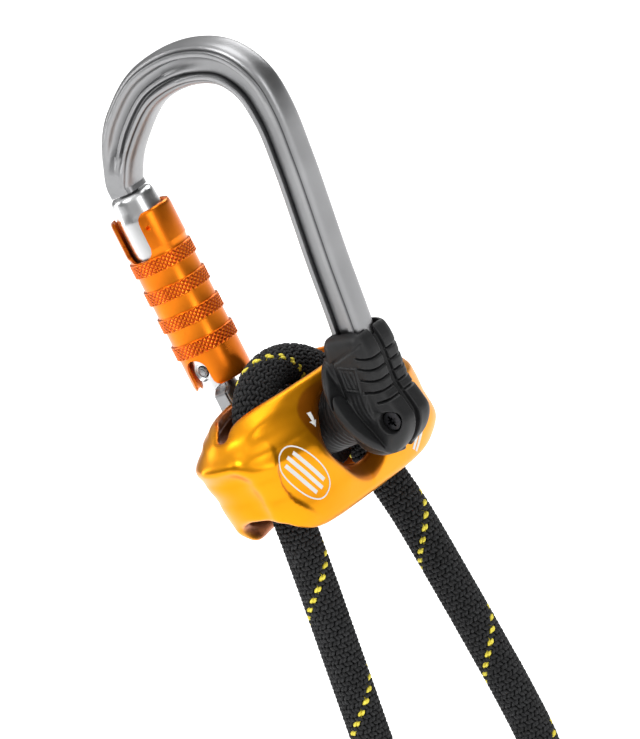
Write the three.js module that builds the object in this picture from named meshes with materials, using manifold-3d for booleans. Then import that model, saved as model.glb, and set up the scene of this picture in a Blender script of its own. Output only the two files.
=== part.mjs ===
// Rope adjuster on a locking carabiner: an asymmetric forged frame with an auto-locking gate,
// a two-half spool clamped round its lower bar, a forged ring that rocks on the spool, and a
// braided rope looped over the spool between the two. Millimetres, +Z up, the frame in the XZ
// plane with its spine at +X. The origin is the point inside the bow where the device hangs.
import * as THREE from 'three';
import Module from 'manifold-3d';
import { mergeVertices } from 'three/addons/utils/BufferGeometryUtils.js';

const wasm = await Module();
wasm.setup();

// Driving dimensions
const GAP = 0.3;                       // clearance between pieces that touch
const ROPE_RADIUS = 5.5;
const SPINE_DEPTH = 10.6;              // frame section, in its own plane
const BOW_DEPTH = 12.2;
const NOSE_DEPTH = 8.8;
const FRAME_THICKNESS = 9;             // frame section, across its plane
const TONGUE_DEPTH = 6;
const TONGUE_THICKNESS = 4.6;
const WEB_RECESS = 1.5;                // depth of the long grooves in the frame's two faces
const GATE_LENGTH = 52;                // from the hinge pin to the nose
const GATE_TILT = THREE.MathUtils.degToRad(10);
const PIVOT = new THREE.Vector3(-27.8, 0, -79.9);
const BARREL_RADIUS = 6.8;
const NECK_RADIUS = 5.4;
const SLEEVE_INNER = 7.6;
const SLEEVE_OUTER = 8.4;
const BAND_OUTER = 9.05;
const BAND_WIDTH = 4.1;
const BAND_PITCH = 8.25;
const BAND_COUNT = 4;
const FIRST_BAND_TOP = 33.9;
const SLEEVE_TOP = 46.2;               // heights on the gate are measured from the hinge pin
const SLEEVE_BOTTOM = -4.5;
const LOOP_RADIUS = 18.5;              // rope centre line round the spool
const SPOOL_CENTRE = new THREE.Vector3(-5.8, 0, -101.3);
const SPOOL_TILT = THREE.MathUtils.degToRad(13.8);
const DRUM_RADIUS = 12.4;
const REAR_FLANGE_RADIUS = 15.4;
const HUB_RADIUS = 9;
const DRUM_FRONT = 6.6;                // along the spool's axis from the middle of the rope
const SHELL_HALF_WIDTH = 7.8;
const SHELL_ROUNDING = 2.6;
const SKIRT_CENTRE = new THREE.Vector3(20.5, 0, -94);
const SKIRT_TILT = THREE.MathUtils.degToRad(25.5);
const SCREW_AT = new THREE.Vector3(30.2, 0, -98.7);
const SCREW_HEAD_RADIUS = 2.75;
const SCREW_HEAD_FACE = -6.2;
const WALL = 4.2;                      // adjuster body
const BODY_RIM_HEIGHT = -82.5;
const BODY_RIM_SLOPE = 0.2;
const STRAND_START = -112;             // height where the held loop becomes a hanging strand
const LOAD_END = -190;
const FREE_END = -214;

const gateAxis = new THREE.Vector3(-Math.sin(GATE_TILT), 0, Math.cos(GATE_TILT));
const spoolAxis = new THREE.Vector3(Math.cos(SPOOL_TILT), 0, Math.sin(SPOOL_TILT));
const nose = PIVOT.clone().addScaledVector(gateAxis, GATE_LENGTH);

// ---------------------------------------------------------------- solids and booleans

function toSolid(geometry) {
  const bare = geometry.clone();
  bare.deleteAttribute('normal');
  bare.deleteAttribute('uv');
  const merged = mergeVertices(bare, 1e-4);
  const mesh = new wasm.Mesh({
    numProp: 3,
    vertProperties: new Float32Array(merged.attributes.position.array),
    triVerts: new Uint32Array(merged.index.array),
  });
  return new wasm.Manifold(mesh);
}

function toGeometry(solid) {
  const mesh = solid.getMesh();
  const geometry = new THREE.BufferGeometry();
  geometry.setAttribute('position', new THREE.BufferAttribute(new Float32Array(mesh.vertProperties), 3));
  geometry.setIndex(new THREE.BufferAttribute(new Uint32Array(mesh.triVerts), 1));
  geometry.computeVertexNormals();
  return geometry;
}

const cut = (solid, ...tools) => tools.reduce((rest, tool) => rest.subtract(tool), solid);
const join = (solid, ...others) => others.reduce((sum, other) => sum.add(other), solid);

// Closed body through equal rings of points, with flat ends.
function loft(rings) {
  const count = rings[0].length;
  const positions = rings.flat().flatMap((p) => [p.x, p.y, p.z]);
  const index = [];
  for (let r = 0; r < rings.length - 1; r += 1) {
    for (let k = 0; k < count; k += 1) {
      const a = r * count + k;
      const b = r * count + (k + 1) % count;
      index.push(a, b, a + count, b, b + count, a + count);
    }
  }
  const last = (rings.length - 1) * count;
  const contour = rings.map((ring) => flatten(ring));
  THREE.ShapeUtils.triangulateShape(contour[0], []).forEach(([a, b, c]) => index.push(a, c, b));
  THREE.ShapeUtils.triangulateShape(contour[rings.length - 1], [])
    .forEach(([a, b, c]) => index.push(last + a, last + b, last + c));
  const geometry = new THREE.BufferGeometry();
  geometry.setAttribute('position', new THREE.Float32BufferAttribute(positions, 3));
  geometry.setIndex(index);
  return facingOut(geometry);
}

// A ring's points in its own plane, for the triangles of an end.
function flatten(ring) {
  const centre = ring.reduce((sum, p) => sum.add(p), new THREE.Vector3()).divideScalar(ring.length);
  const u = ring[0].clone().sub(centre).normalize();
  const normal = new THREE.Vector3();
  ring.forEach((p, k) => {
    const q = ring[(k + 1) % ring.length];
    normal.add(p.clone().sub(centre).cross(q.clone().sub(centre)));
  });
  const v = normal.normalize().clone().cross(u);
  return ring.map((p) => {
    const offset = p.clone().sub(centre);
    return new THREE.Vector2(offset.dot(u), offset.dot(v));
  });
}

function facingOut(geometry) {
  const p = geometry.attributes.position;
  const index = geometry.index.array;
  const [a, b, c] = [new THREE.Vector3(), new THREE.Vector3(), new THREE.Vector3()];
  let volume = 0;
  for (let i = 0; i < index.length; i += 3) {
    a.fromBufferAttribute(p, index[i]);
    b.fromBufferAttribute(p, index[i + 1]);
    c.fromBufferAttribute(p, index[i + 2]);
    volume += a.dot(b.cross(c));
  }
  if (volume < 0) {
    for (let i = 0; i < index.length; i += 3) {
      [index[i + 1], index[i + 2]] = [index[i + 2], index[i + 1]];
    }
  }
  return geometry;
}

// Outline in the XZ plane, extruded across it from y0 to y1, with its edges rounded by bevel.
function plateXZ(shape, y0, y1, bevel = 0, curveSegments = 8) {
  const geometry = new THREE.ExtrudeGeometry(shape, {
    depth: y1 - y0 - 2 * bevel,
    bevelEnabled: bevel > 0,
    bevelThickness: bevel,
    bevelSize: bevel,
    bevelOffset: -bevel,
    bevelSegments: 2,
    curveSegments,
  });
  return geometry.rotateX(Math.PI / 2).translate(0, y1 - bevel, 0);
}

// Outline in the YZ plane, extruded along X from x0 to x1.
function plateYZ(shape, x0, x1, curveSegments = 16) {
  const basis = new THREE.Matrix4().makeBasis(new THREE.Vector3(0, 1, 0), new THREE.Vector3(0, 0, 1),
    new THREE.Vector3(1, 0, 0)).setPosition(x0, 0, 0);
  return new THREE.ExtrudeGeometry(shape, { depth: x1 - x0, bevelEnabled: false, curveSegments })
    .applyMatrix4(basis);
}

const box = (x0, x1, y0, y1, z0, z1) => new THREE.BoxGeometry(x1 - x0, y1 - y0, z1 - z0)
  .translate((x0 + x1) / 2, (y0 + y1) / 2, (z0 + z1) / 2);

const polygon = (points) => new THREE.Shape(points.map(([x, y]) => new THREE.Vector2(x, y)));

function smoothShape(points) {
  const curve = new THREE.CatmullRomCurve3(points.map(([x, y]) => new THREE.Vector3(x, y, 0)),
    true, 'centripetal');
  return new THREE.Shape(curve.getSpacedPoints(points.length * 2).slice(0, -1)
    .map((p) => new THREE.Vector2(p.x, p.y)));
}

// Open outline that starts along a smooth line through the points.
function smoothEdge(points) {
  const shape = new THREE.Shape();
  shape.moveTo(...points[0]);
  shape.splineThru(points.slice(1).map(([x, y]) => new THREE.Vector2(x, y)));
  return shape;
}

// Turned part: profile is a list of [radius, height], the axis is Z before it is placed.
function turned(profile, segments = 28) {
  return new THREE.LatheGeometry(profile.map(([r, z]) => new THREE.Vector2(r, z)), segments)
    .rotateX(Math.PI / 2);
}

function along(axis, origin) {
  const across = new THREE.Vector3(0, 1, 0);
  const side = across.clone().cross(axis);
  return new THREE.Matrix4().makeBasis(side, across, axis).setPosition(origin);
}

const onGate = (geometry) => geometry.applyMatrix4(along(gateAxis, PIVOT));
const onSpool = (geometry) => geometry.applyMatrix4(along(spoolAxis, SPOOL_CENTRE));
const ring = (inner, outer, z0, z1) => turned(
  [[inner, z0], [outer, z0], [outer, z1], [inner, z1], [inner, z0]]);
const disc = (radius, z0, z1, segments = 28) => turned(
  [[0, z0], [radius, z0], [radius, z1], [0, z1]], segments);

function tube(curve, radius, steps, sides = 12) {
  const section = new THREE.Shape();
  section.absarc(0, 0, radius, 0, 2 * Math.PI);
  return new THREE.ExtrudeGeometry(section, {
    steps, extrudePath: curve, curveSegments: sides / 2, bevelEnabled: false,
  });
}

// Smooth value between [position, value] pairs.
function blend(pairs) {
  return (at) => {
    const i = Math.max(0, Math.min(pairs.length - 2, pairs.findIndex(([p]) => p > at) - 1));
    const [p0, v0] = pairs[i];
    const [p1, v1] = pairs[i + 1];
    const t = THREE.MathUtils.clamp((at - p0) / (p1 - p0), 0, 1);
    return v0 + (v1 - v0) * t * t * (3 - 2 * t);
  };
}

// ---------------------------------------------------------------- carabiner frame

const framePath = new THREE.CatmullRomCurve3([
  nose,
  nose.clone().addScaledVector(gateAxis, 2.5),
  new THREE.Vector3(-36.2, 0, -22.6),
  new THREE.Vector3(-33.1, 0, -15.6),
  new THREE.Vector3(-27.4, 0, -8.2),
  new THREE.Vector3(-17, 0, 0.5),
  new THREE.Vector3(-1, 0, 5.4),
  new THREE.Vector3(10.8, 0, 4.1),
  new THREE.Vector3(17.8, 0, -1.8),
  new THREE.Vector3(21, 0, -11),
  new THREE.Vector3(22, 0, -24),
  new THREE.Vector3(22, 0, -52),
  new THREE.Vector3(22, 0, -80),
  new THREE.Vector3(19.5, 0, -90),
  new THREE.Vector3(11.5, 0, -96.2),
  new THREE.Vector3(-1, 0, -100.1),
  new THREE.Vector3(-13, 0, -103.1),
  new THREE.Vector3(-20.5, 0, -101.4),
  new THREE.Vector3(-24.8, 0, -95),
  new THREE.Vector3(-26.9, 0, -87.5),
  PIVOT,
], false, 'centripetal');
const FRAME_LENGTH = framePath.getLength();
const TONGUE_LENGTH = 6.2;
const STEM_START = 8;
const FRAME_STEPS = 46;

// Depth, thickness and groove at a distance from the nose, and from the hinge pin.
const depthFromNose = blend([[0, NOSE_DEPTH], [22, BOW_DEPTH], [70, BOW_DEPTH], [95, SPINE_DEPTH]]);
const depthFromPin = blend([[STEM_START, TONGUE_DEPTH], [24, 9], [60, SPINE_DEPTH]]);
const thicknessFromPin = blend([[TONGUE_LENGTH, TONGUE_THICKNESS], [STEM_START, 8],
  [24, FRAME_THICKNESS]]);
const grooveFromNose = blend([[6, 0], [16, WEB_RECESS]]);
const grooveFromPin = blend([[60, 0], [72, WEB_RECESS]]);

function frameRing(at, depth, thickness, recess) {
  const t = THREE.MathUtils.clamp(at / FRAME_LENGTH, 0, 1);
  const centre = framePath.getPointAt(t);
  const tangent = framePath.getTangentAt(t);
  const out = new THREE.Vector3(tangent.z, 0, -tangent.x).negate();
  const a = depth / 2;
  const b = thickness / 2;
  const half = [[1, 0.5], [0.84, 0.9], [0.66, 1], [0.5, 1], [0.36, 0], [-0.36, 0], [-0.5, 1],
    [-0.66, 1], [-0.84, 0.9], [-1, 0.5]];
  const web = (b - recess) / b;
  const upper = half.map(([n, y]) => [n * a, (y === 0 ? web : y) * b]);
  const lower = upper.map(([n, y]) => [n, -y]).reverse();
  return [...upper, ...lower].map(([n, y]) => centre.clone().addScaledVector(out, n)
    .add(new THREE.Vector3(0, y, 0)));
}

function frameSweep(first, last, grow = 0) {
  const rings = [];
  for (let i = first; i <= last; i += 1) {
    const at = FRAME_LENGTH * i / FRAME_STEPS;
    const left = FRAME_LENGTH - at;
    const depth = left < 60 ? depthFromPin(left) : depthFromNose(at);
    const recess = grow > 0 ? 0 : Math.min(grooveFromNose(at), grooveFromPin(left));
    rings.push(frameRing(at, depth + 2 * grow, thicknessFromPin(left) + 2 * grow, recess));
  }
  return toSolid(loft(rings));
}

const KEY_TOP = GATE_LENGTH;
const KEY_BOTTOM = 49.5;
const SCREW_SEGMENTS = 8;

function noseKey(grow) {
  return join(
    toSolid(onGate(box(-3 - grow, 2 + grow, -1.3 - grow, 1.3 + grow, KEY_BOTTOM - grow, KEY_TOP + 1))),
    toSolid(onGate(box(-3 - grow, 2 + grow, -1.9 - grow, 1.9 + grow, KEY_BOTTOM - grow, 50.7 + grow))));
}

function carabinerFrame() {
  const knuckle = toSolid(plateXZ(new THREE.Shape().absarc(PIVOT.x, PIVOT.z, 3.4, 0, 2 * Math.PI),
    -TONGUE_THICKNESS / 2, TONGUE_THICKNESS / 2));
  const pinHole = toSolid(plateXZ(new THREE.Shape().absarc(PIVOT.x, PIVOT.z, 1.8, 0, 2 * Math.PI),
    -10, 10));
  return cut(join(frameSweep(0, FRAME_STEPS), knuckle, noseKey(0)), pinHole);
}

// ---------------------------------------------------------------- gate and its lock

const FORK_RADIUS = 5.6;
const HEAD_TOP = 51.4;
const BORE_RADIUS = 2.6;
const BORE_TOP = 28;

function gateBarrel() {
  const body = toSolid(onGate(turned([
    [0, -FORK_RADIUS], [BARREL_RADIUS, -FORK_RADIUS], [BARREL_RADIUS, 8], [NECK_RADIUS, 8.6],
    [NECK_RADIUS, 30], [BARREL_RADIUS, 30.6], [BARREL_RADIUS, 45.5], [6.1, HEAD_TOP - 0.6],
    [5.5, HEAD_TOP], [0, HEAD_TOP]])));
  const forkEnd = new THREE.Shape();
  forkEnd.absarc(0, 0, FORK_RADIUS, Math.PI, 2 * Math.PI);
  forkEnd.lineTo(9, 0);
  forkEnd.lineTo(9, 60);
  forkEnd.lineTo(-9, 60);
  forkEnd.lineTo(-9, 0);
  const rounding = toSolid(onGate(plateXZ(forkEnd, -9, 9)));
  const half = TONGUE_THICKNESS / 2 + GAP;
  const slot = toSolid(onGate(box(-9, 9, -half, half, -9, 4.2)));
  const bore = toSolid(onGate(disc(BORE_RADIUS, 3, BORE_TOP, 20)));
  const pinHole = toSolid(plateXZ(new THREE.Shape().absarc(PIVOT.x, PIVOT.z, 1.8, 0, 2 * Math.PI),
    -10, 10));
  const keySlot = join(
    toSolid(onGate(box(-9, 2.4, -1.7, 1.7, 48.4, 54))),
    toSolid(onGate(box(-9, 2.4, -2.3, 2.3, 48.4, 51.2))));
  return cut(body.intersect(rounding), slot, bore, pinHole, keySlot);
}

function gatePlunger() {
  return toSolid(onGate(turned([[0, 3.8], [1.2, 3.9], [2.2, 5], [2.2, 9.4], [1.1, 9.4],
    [1.1, 14], [0, 14]], 20)));
}

class Helix extends THREE.Curve {
  constructor(radius, z0, z1, turns) {
    super();
    Object.assign(this, { radius, z0, z1, turns });
  }

  getPoint(t, target = new THREE.Vector3()) {
    const angle = 2 * Math.PI * this.turns * t;
    return target.set(this.radius * Math.cos(angle), this.radius * Math.sin(angle),
      this.z0 + (this.z1 - this.z0) * t);
  }
}

const COIL_STEPS = 8;

function coil(radius, wire, z0, z1, turns) {
  const rings = [];
  const steps = turns * COIL_STEPS;
  const curve = new Helix(radius, z0 + wire, z1 - wire, turns);
  for (let i = 0; i <= steps; i += 1) {
    const centre = curve.getPoint(i / steps);
    const out = new THREE.Vector3(centre.x, centre.y, 0).normalize();
    const up = curve.getTangent(i / steps).cross(out).normalize();
    rings.push([0, 1, 2, 3, 4].map((k) => {
      const angle = k * 2 * Math.PI / 5;
      return centre.clone().addScaledVector(out, wire * Math.cos(angle))
        .addScaledVector(up, wire * Math.sin(angle));
    }));
  }
  return toSolid(onGate(loft(rings)));
}

const SLOT_HALF_WIDTH = 4.6;
const SLOT_FOOT = 34;

function lockingSleeve() {
  const profile = [[SLEEVE_INNER, SLEEVE_BOTTOM], [8.2, SLEEVE_BOTTOM], [SLEEVE_OUTER, -3]];
  for (let band = BAND_COUNT - 1; band >= 0; band -= 1) {
    const top = FIRST_BAND_TOP - band * BAND_PITCH;
    profile.push([SLEEVE_OUTER, top - BAND_WIDTH], [BAND_OUTER, top - BAND_WIDTH + 0.3],
      [BAND_OUTER, top - 0.3], [SLEEVE_OUTER, top]);
  }
  profile.push([8.7, 36], [8.7, SLEEVE_TOP - 0.8], [8.1, SLEEVE_TOP], [SLEEVE_INNER, SLEEVE_TOP],
    [SLEEVE_INNER, 8], [7.15, 8], [7.15, 6.8], [SLEEVE_INNER, 6.2], [SLEEVE_INNER, SLEEVE_BOTTOM]);
  const body = toSolid(onGate(turned(profile, 30)));
  // Slot for the nose key, seen from the front, and its relief towards the gate's outer side.
  const slot = new THREE.Shape();
  slot.moveTo(-SLOT_HALF_WIDTH, 60);
  slot.lineTo(-SLOT_HALF_WIDTH, SLOT_FOOT + 3);
  slot.absarc(-SLOT_HALF_WIDTH + 3, SLOT_FOOT + 3, 3, Math.PI, 1.5 * Math.PI);
  slot.absarc(SLOT_HALF_WIDTH - 3, SLOT_FOOT + 3, 3, 1.5 * Math.PI, 2 * Math.PI);
  slot.bezierCurveTo(SLOT_HALF_WIDTH, 42, SLOT_HALF_WIDTH, 45, SLOT_HALF_WIDTH + 1.2, 46.3);
  slot.lineTo(SLOT_HALF_WIDTH + 1.2, 60);
  const keyWay = toSolid(onGate(plateXZ(slot, -12, -2)));
  const relief = toSolid(onGate(box(-12, -3, -2.5, 2.5, 45.3, 60)));
  // Openings round the hinge pin on both faces, which leave two skirt lobes.
  const arch = new THREE.Shape();
  arch.moveTo(-3.8, -20);
  arch.lineTo(-3.4, 0.4);
  arch.absarc(0, 0.8, 3.4, Math.PI, 0, true);
  arch.lineTo(3.8, -20);
  const pinWindow = toSolid(onGate(plateXZ(arch, -12, 12)));
  return cut(body, keyWay, relief, pinWindow);
}

const guideRing = () => toSolid(onGate(ring(5.7, 7.35, 8.9, 10.4)));

function hingePin() {
  return toSolid(turned([[0, -6.6], [0.9, -6.6], [1.5, -6.2], [1.5, 6.2], [0.9, 6.6], [0, 6.6]], 24)
    .rotateX(Math.PI / 2).translate(PIVOT.x, 0, PIVOT.z));
}

// ---------------------------------------------------------------- spool

const barCutter = frameSweep(Math.floor(FRAME_STEPS * 0.5), Math.ceil(FRAME_STEPS * 0.91), GAP);

function drum() {
  const ridges = [];
  for (let s = -4; s <= DRUM_FRONT - 3; s += 3.4) {
    ridges.push([DRUM_RADIUS, s], [DRUM_RADIUS - 0.35, s + 0.6], [DRUM_RADIUS, s + 1.2]);
  }
  const profile = [[0, -8.2], [REAR_FLANGE_RADIUS - 0.6, -8.2], [REAR_FLANGE_RADIUS, -7.6],
    [REAR_FLANGE_RADIUS, -7.0], [REAR_FLANGE_RADIUS - 0.8, -6.4], [DRUM_RADIUS + 1.2, -6.2],
    [DRUM_RADIUS, -5.6], ...ridges, [DRUM_RADIUS, DRUM_FRONT - 0.4], [DRUM_RADIUS - 0.4, DRUM_FRONT],
    [0, DRUM_FRONT]];
  return cut(toSolid(onSpool(turned(profile, 32))), barCutter);
}

function half(solid, side) {
  const [y0, y1] = side < 0 ? [-60, -GAP / 2] : [GAP / 2, 60];
  return solid.intersect(toSolid(box(-80, 80, y0, y1, -200, 60)));
}

const shellOutline = [[16.4, -74.4], [22, -73.2], [28, -73.6], [30, -77.5], [30.5, -84], [30.9, -90.5],
  [33, -95.6], [34.2, -99.6], [32.6, -103.6], [28.2, -107.6], [22.5, -108.6], [16.8, -106],
  [14.4, -99], [14.2, -90], [14.8, -80]];
const GRIP_GROOVES = 5;
const GRIP_FIRST = -80;
const GRIP_PITCH = 3.1;

function shells() {
  const outline = smoothShape(shellOutline);
  const centre = new THREE.Vector2(23.5, -92);
  const inset = smoothShape(shellOutline.map(([x, z]) => [
    centre.x + (x - centre.x) * 0.82, centre.y + (z - centre.y) * 0.92]));
  const body = toSolid(plateXZ(outline, -SHELL_HALF_WIDTH, SHELL_HALF_WIDTH, SHELL_ROUNDING));
  const skirt = toSolid(turned([[0, -1.6], [13, -1.1], [15.6, -1.2], [16.4, -0.4], [16.4, 0.8],
    [15.8, 1.2], [12, 1.4], [0, 1.4]], 36).scale(1, 0.9, 1)
    .applyMatrix4(along(new THREE.Vector3(Math.cos(SKIRT_TILT), 0, Math.sin(SKIRT_TILT)), SKIRT_CENTRE)));
  const hub = toSolid(onSpool(disc(HUB_RADIUS, DRUM_FRONT + GAP, 27)))
    .intersect(toSolid(box(-20, 26, -30, 30, -130, -60)));
  const seam = cut(toSolid(plateXZ(outline, -1.2, 1.2).scale(1.001, 1, 1.001)),
    toSolid(plateXZ(inset, -3, 3)));
  const grooves = [];
  for (let i = 0; i < GRIP_GROOVES; i += 1) {
    const z = GRIP_FIRST - i * GRIP_PITCH;
    for (const side of [-1, 1]) {
      const groove = box(23.5, 36, 0, 1.0, -0.35, 0.35).rotateY(0.14)
        .translate(0, side < 0 ? -SHELL_HALF_WIDTH : SHELL_HALF_WIDTH - 1, z + 3.4);
      grooves.push(toSolid(groove));
    }
    grooves.push(toSolid(box(29.3, 36, -9, 9, z - 0.35, z + 0.35)));
  }
  const screwHole = toSolid(plateXZ(new THREE.Shape().absarc(SCREW_AT.x, SCREW_AT.z, 1.8, 0,
    2 * Math.PI), -12, 6.2, 0, SCREW_SEGMENTS));
  const headRecess = toSolid(plateXZ(new THREE.Shape().absarc(SCREW_AT.x, SCREW_AT.z,
    SCREW_HEAD_RADIUS + GAP, 0, 2 * Math.PI), -12, SCREW_HEAD_FACE + 2.3, 0, SCREW_SEGMENTS));
  const insertPocket = toSolid(plateXZ(new THREE.Shape().absarc(SCREW_AT.x, SCREW_AT.z, 2.6 + GAP, 0,
    2 * Math.PI), 1.5, 5.8, 0, SCREW_SEGMENTS));
  const whole = cut(join(body, skirt, hub), barCutter, seam, ...grooves);
  return {
    left: cut(half(whole, -1), screwHole, headRecess),
    right: cut(half(whole, 1), screwHole, insertPocket),
  };
}

function shellScrew() {
  const face = -SCREW_HEAD_FACE;
  const turnedScrew = toSolid(turned([[0, -4.6], [1.5, -4.6], [1.5, face - 1.9],
    [SCREW_HEAD_RADIUS, face - 0.5], [SCREW_HEAD_RADIUS, face], [0, face]], SCREW_SEGMENTS)
    .rotateX(Math.PI / 2).translate(SCREW_AT.x, 0, SCREW_AT.z));
  const cross = [0, Math.PI / 2].map((turn) => toSolid(
    box(-1.5, 1.5, -0.35, 0.35, face - 1.1, face + 1).rotateZ(turn + 0.5)
      .rotateX(Math.PI / 2).translate(SCREW_AT.x, 0, SCREW_AT.z)));
  return cut(turnedScrew, ...cross);
}

const shellInsert = () => cut(
  toSolid(plateXZ(new THREE.Shape().absarc(SCREW_AT.x, SCREW_AT.z, 2.6, 0, 2 * Math.PI),
    1.8, 5.5, 0, SCREW_SEGMENTS)),
  toSolid(plateXZ(new THREE.Shape().absarc(SCREW_AT.x, SCREW_AT.z, 1.8, 0, 2 * Math.PI),
    -1, 9, 0, SCREW_SEGMENTS)));

// ---------------------------------------------------------------- adjuster body

const bodyFront = blend([[-124, 10.6], [-112, 12.6], [-101, 13.2], [-91, 12], [-82, 9.2], [-74, 7.4]]);
const bodyBack = blend([[-124, -18.8], [-112, -22.2], [-101, -23], [-89, -22], [-74, -20.4]]);
const bodyReachLeft = blend([[-124, 29], [-116, 33.4], [-108, 35], [-101.5, 36.8], [-96, 39.2],
  [-90, 36.2], [-84, 32], [-74, 31]]);
const bodyReachRight = blend([[-124, 34.5], [-114, 40.4], [-105, 38.6], [-96, 37.4], [-90, 36],
  [-84, 34], [-74, 32]]);
const frontPower = blend([[-124, 0.62], [-114, 0.52], [-99, 0.6], [-95, 0.76], [-89, 1.1], [-83, 1.2]]);
const backPower = blend([[-124, 0.85], [-108, 0.8], [-98, 0.72], [-90, 1.03], [-83, 1.3]]);

const BODY_SIDES = 44;

function bodyRing(z, inset) {
  const front = bodyFront(z) - inset;
  const back = bodyBack(z) + inset;
  const points = [];
  for (let k = 0; k < BODY_SIDES; k += 1) {
    const angle = 2 * Math.PI * k / BODY_SIDES;
    const [c, s] = [Math.cos(angle), Math.sin(angle)];
    const power = c > 0 ? frontPower(z) : backPower(z);
    const reach = (s > 0 ? bodyReachRight(z) : bodyReachLeft(z)) - inset;
    const x = Math.sign(c) * Math.abs(c) ** power * (front - back) / 2 + (front + back) / 2;
    points.push(new THREE.Vector3(x, Math.sign(s) * Math.abs(s) ** power * reach, z));
  }
  return points;
}

const bodyLoft = (z0, z1, steps, inset) => toSolid(loft(
  Array.from({ length: steps + 1 }, (_, i) => bodyRing(z0 + (z1 - z0) * i / steps, inset))));

// Half outlines, [y, z] from top to foot, of the front window inside and outside, and the rear one.
const windowInside = [[0, -87.6], [6.5, -89.6], [10.2, -95], [11.6, -101], [9.8, -106],
  [5.4, -109.9], [0, -111.3]];
const windowOutside = [[0, -85.4], [12, -85.6], [17.2, -89], [17.8, -94.4], [14.6, -102.8],
  [10.6, -108.8], [5.8, -115], [0, -117.4]];
const windowRear = [[0, -92.6], [9.3, -93.4], [15, -99.6], [12.9, -107.6], [9, -111.2],
  [4.5, -115.5], [0, -116.4]];
const WINDOW_MIDDLE = -102.5;

function windowRing(x, half, scale = 1) {
  const mirrored = half.slice(1, -1).reverse().map(([y, z]) => [-y, z]);
  const outline = new THREE.CatmullRomCurve3([...half, ...mirrored].map(([y, z]) => new THREE.Vector3(
    x, y * scale, WINDOW_MIDDLE + (z - WINDOW_MIDDLE) * scale)), true, 'centripetal');
  return outline.getSpacedPoints(28).slice(0, -1);
}

const between = (a, b, t) => a.map((point, k) => point.clone().lerp(b[k], t));

function adjusterBody() {
  const shell = cut(bodyLoft(-125.2, -76, 14, 0), bodyLoft(-127, -70, 14, WALL));
  const rimAt = (x) => BODY_RIM_HEIGHT + (x - 8.5) * BODY_RIM_SLOPE;
  const slab = toSolid(plateXZ(polygon([[-40, rimAt(-40)], [-40, -125], [-20, -123.9],
    [-8, -121.8], [30, -120], [30, rimAt(30)]]), -60, 60));
  // The rim is level over the spool and falls towards both ends.
  const crown = smoothEdge([[-60, -112], [-40, -95.6], [-34, -89.4], [-26, -84.2], [-13, -82.4],
    [6, -82.4], [18, -84], [26.5, -87.4], [32, -91.6], [38.4, -98.6], [60, -128]]);
  crown.lineTo(60, -140);
  crown.lineTo(-60, -140);
  const rim = toSolid(plateYZ(crown, -40, 30));
  // The front window narrows inwards like a funnel, round the spool's hub.
  const frontWindow = toSolid(loft([[0, 0], [9.2, 0], [10, 0.06], [13, 1], [17, 1.5]]
    .map(([x, t]) => between(windowRing(x, windowInside), windowRing(x, windowOutside), t))));
  const rearWindow = toSolid(loft([[-10, 1], [-19, 1], [-22, 1.07], [-27, 1.17]]
    .map(([x, scale]) => windowRing(x, windowRear, scale))));
  const arch = new THREE.Shape();
  arch.moveTo(-11.5, -140);
  arch.lineTo(-11.5, -119.5);
  arch.bezierCurveTo(-11.5, -111.5, 7.5, -111.5, 7.5, -119.5);
  arch.lineTo(7.5, -140);
  const arches = [toSolid(plateXZ(arch, -60, -16)), toSolid(plateXZ(arch, 16, 60))];
  // Dip in the rear rim that lets the sleeve's skirt pass when the gate opens.
  const dip = new THREE.Shape().absarc(0, -70.5, 19.3, 0, 2 * Math.PI);
  const rearDip = toSolid(plateYZ(dip, -33, -13));
  return cut(shell.intersect(slab).intersect(rim), frontWindow, rearWindow, ...arches, rearDip);
}

// ---------------------------------------------------------------- rope and its ends

const loopUp = new THREE.Vector3(-Math.sin(SPOOL_TILT), 0, Math.cos(SPOOL_TILT));

function loopPoint(angle) {
  return SPOOL_CENTRE.clone().addScaledVector(new THREE.Vector3(0, 1, 0), LOOP_RADIUS * Math.sin(angle))
    .addScaledVector(loopUp, LOOP_RADIUS * Math.cos(angle));
}

const LOOP_STEPS = 10;
const loopAngles = Array.from({ length: LOOP_STEPS + 1 },
  (_, i) => THREE.MathUtils.degToRad(-90 + 180 * i / LOOP_STEPS));
const heldPath = new THREE.CatmullRomCurve3([
  new THREE.Vector3(-3.6, -18.6, STRAND_START),
  new THREE.Vector3(-3.74, -18.6, STRAND_START + 4),
  ...loopAngles.map(loopPoint),
  new THREE.Vector3(-5.03, 18.55, STRAND_START + 4),
  new THREE.Vector3(-3.98, 18.69, STRAND_START),
], false, 'centripetal');

// Two hanging strands, from inside the body down to their sewn ends.
const loadRoute = [
  [-3.6, -18.6, -112.3], [-3.4, -18.6, -118], [-3.2, -18.5, -125], [-3.1, -18.5, -132],
  [-3, -18.5, -139], [-3, -18.5, -146], [-3, -18.5, -153], [-3, -18.5, -160], [-3, -18.5, -167],
  [-3, -18.5, -174], [-3, -18.5, -179], [-3, -18.5, -184], [-3, -18.5, -187], [-3, -18.5, LOAD_END],
];
const freeRoute = [
  [-3.9, 18.7, -112.3], [-2.4, 18.9, -118], [-0.4, 19.3, -125], [1.5, 20, -132], [3, 20.7, -139],
  [4.2, 21.4, -146], [5.3, 22.1, -153], [6.4, 22.8, -160], [7.5, 23.5, -167], [8.5, 24.2, -174],
  [9.5, 24.9, -181], [10.5, 25.6, -188], [11.4, 26.2, -195], [12.1, 26.7, -201], [12.6, 27, -206],
  [12.8, 27.1, -210], [12.8, 27.1, FREE_END],
];
const route = (points) => new THREE.CatmullRomCurve3(points.map((p) => new THREE.Vector3(...p)),
  false, 'centripetal');

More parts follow.
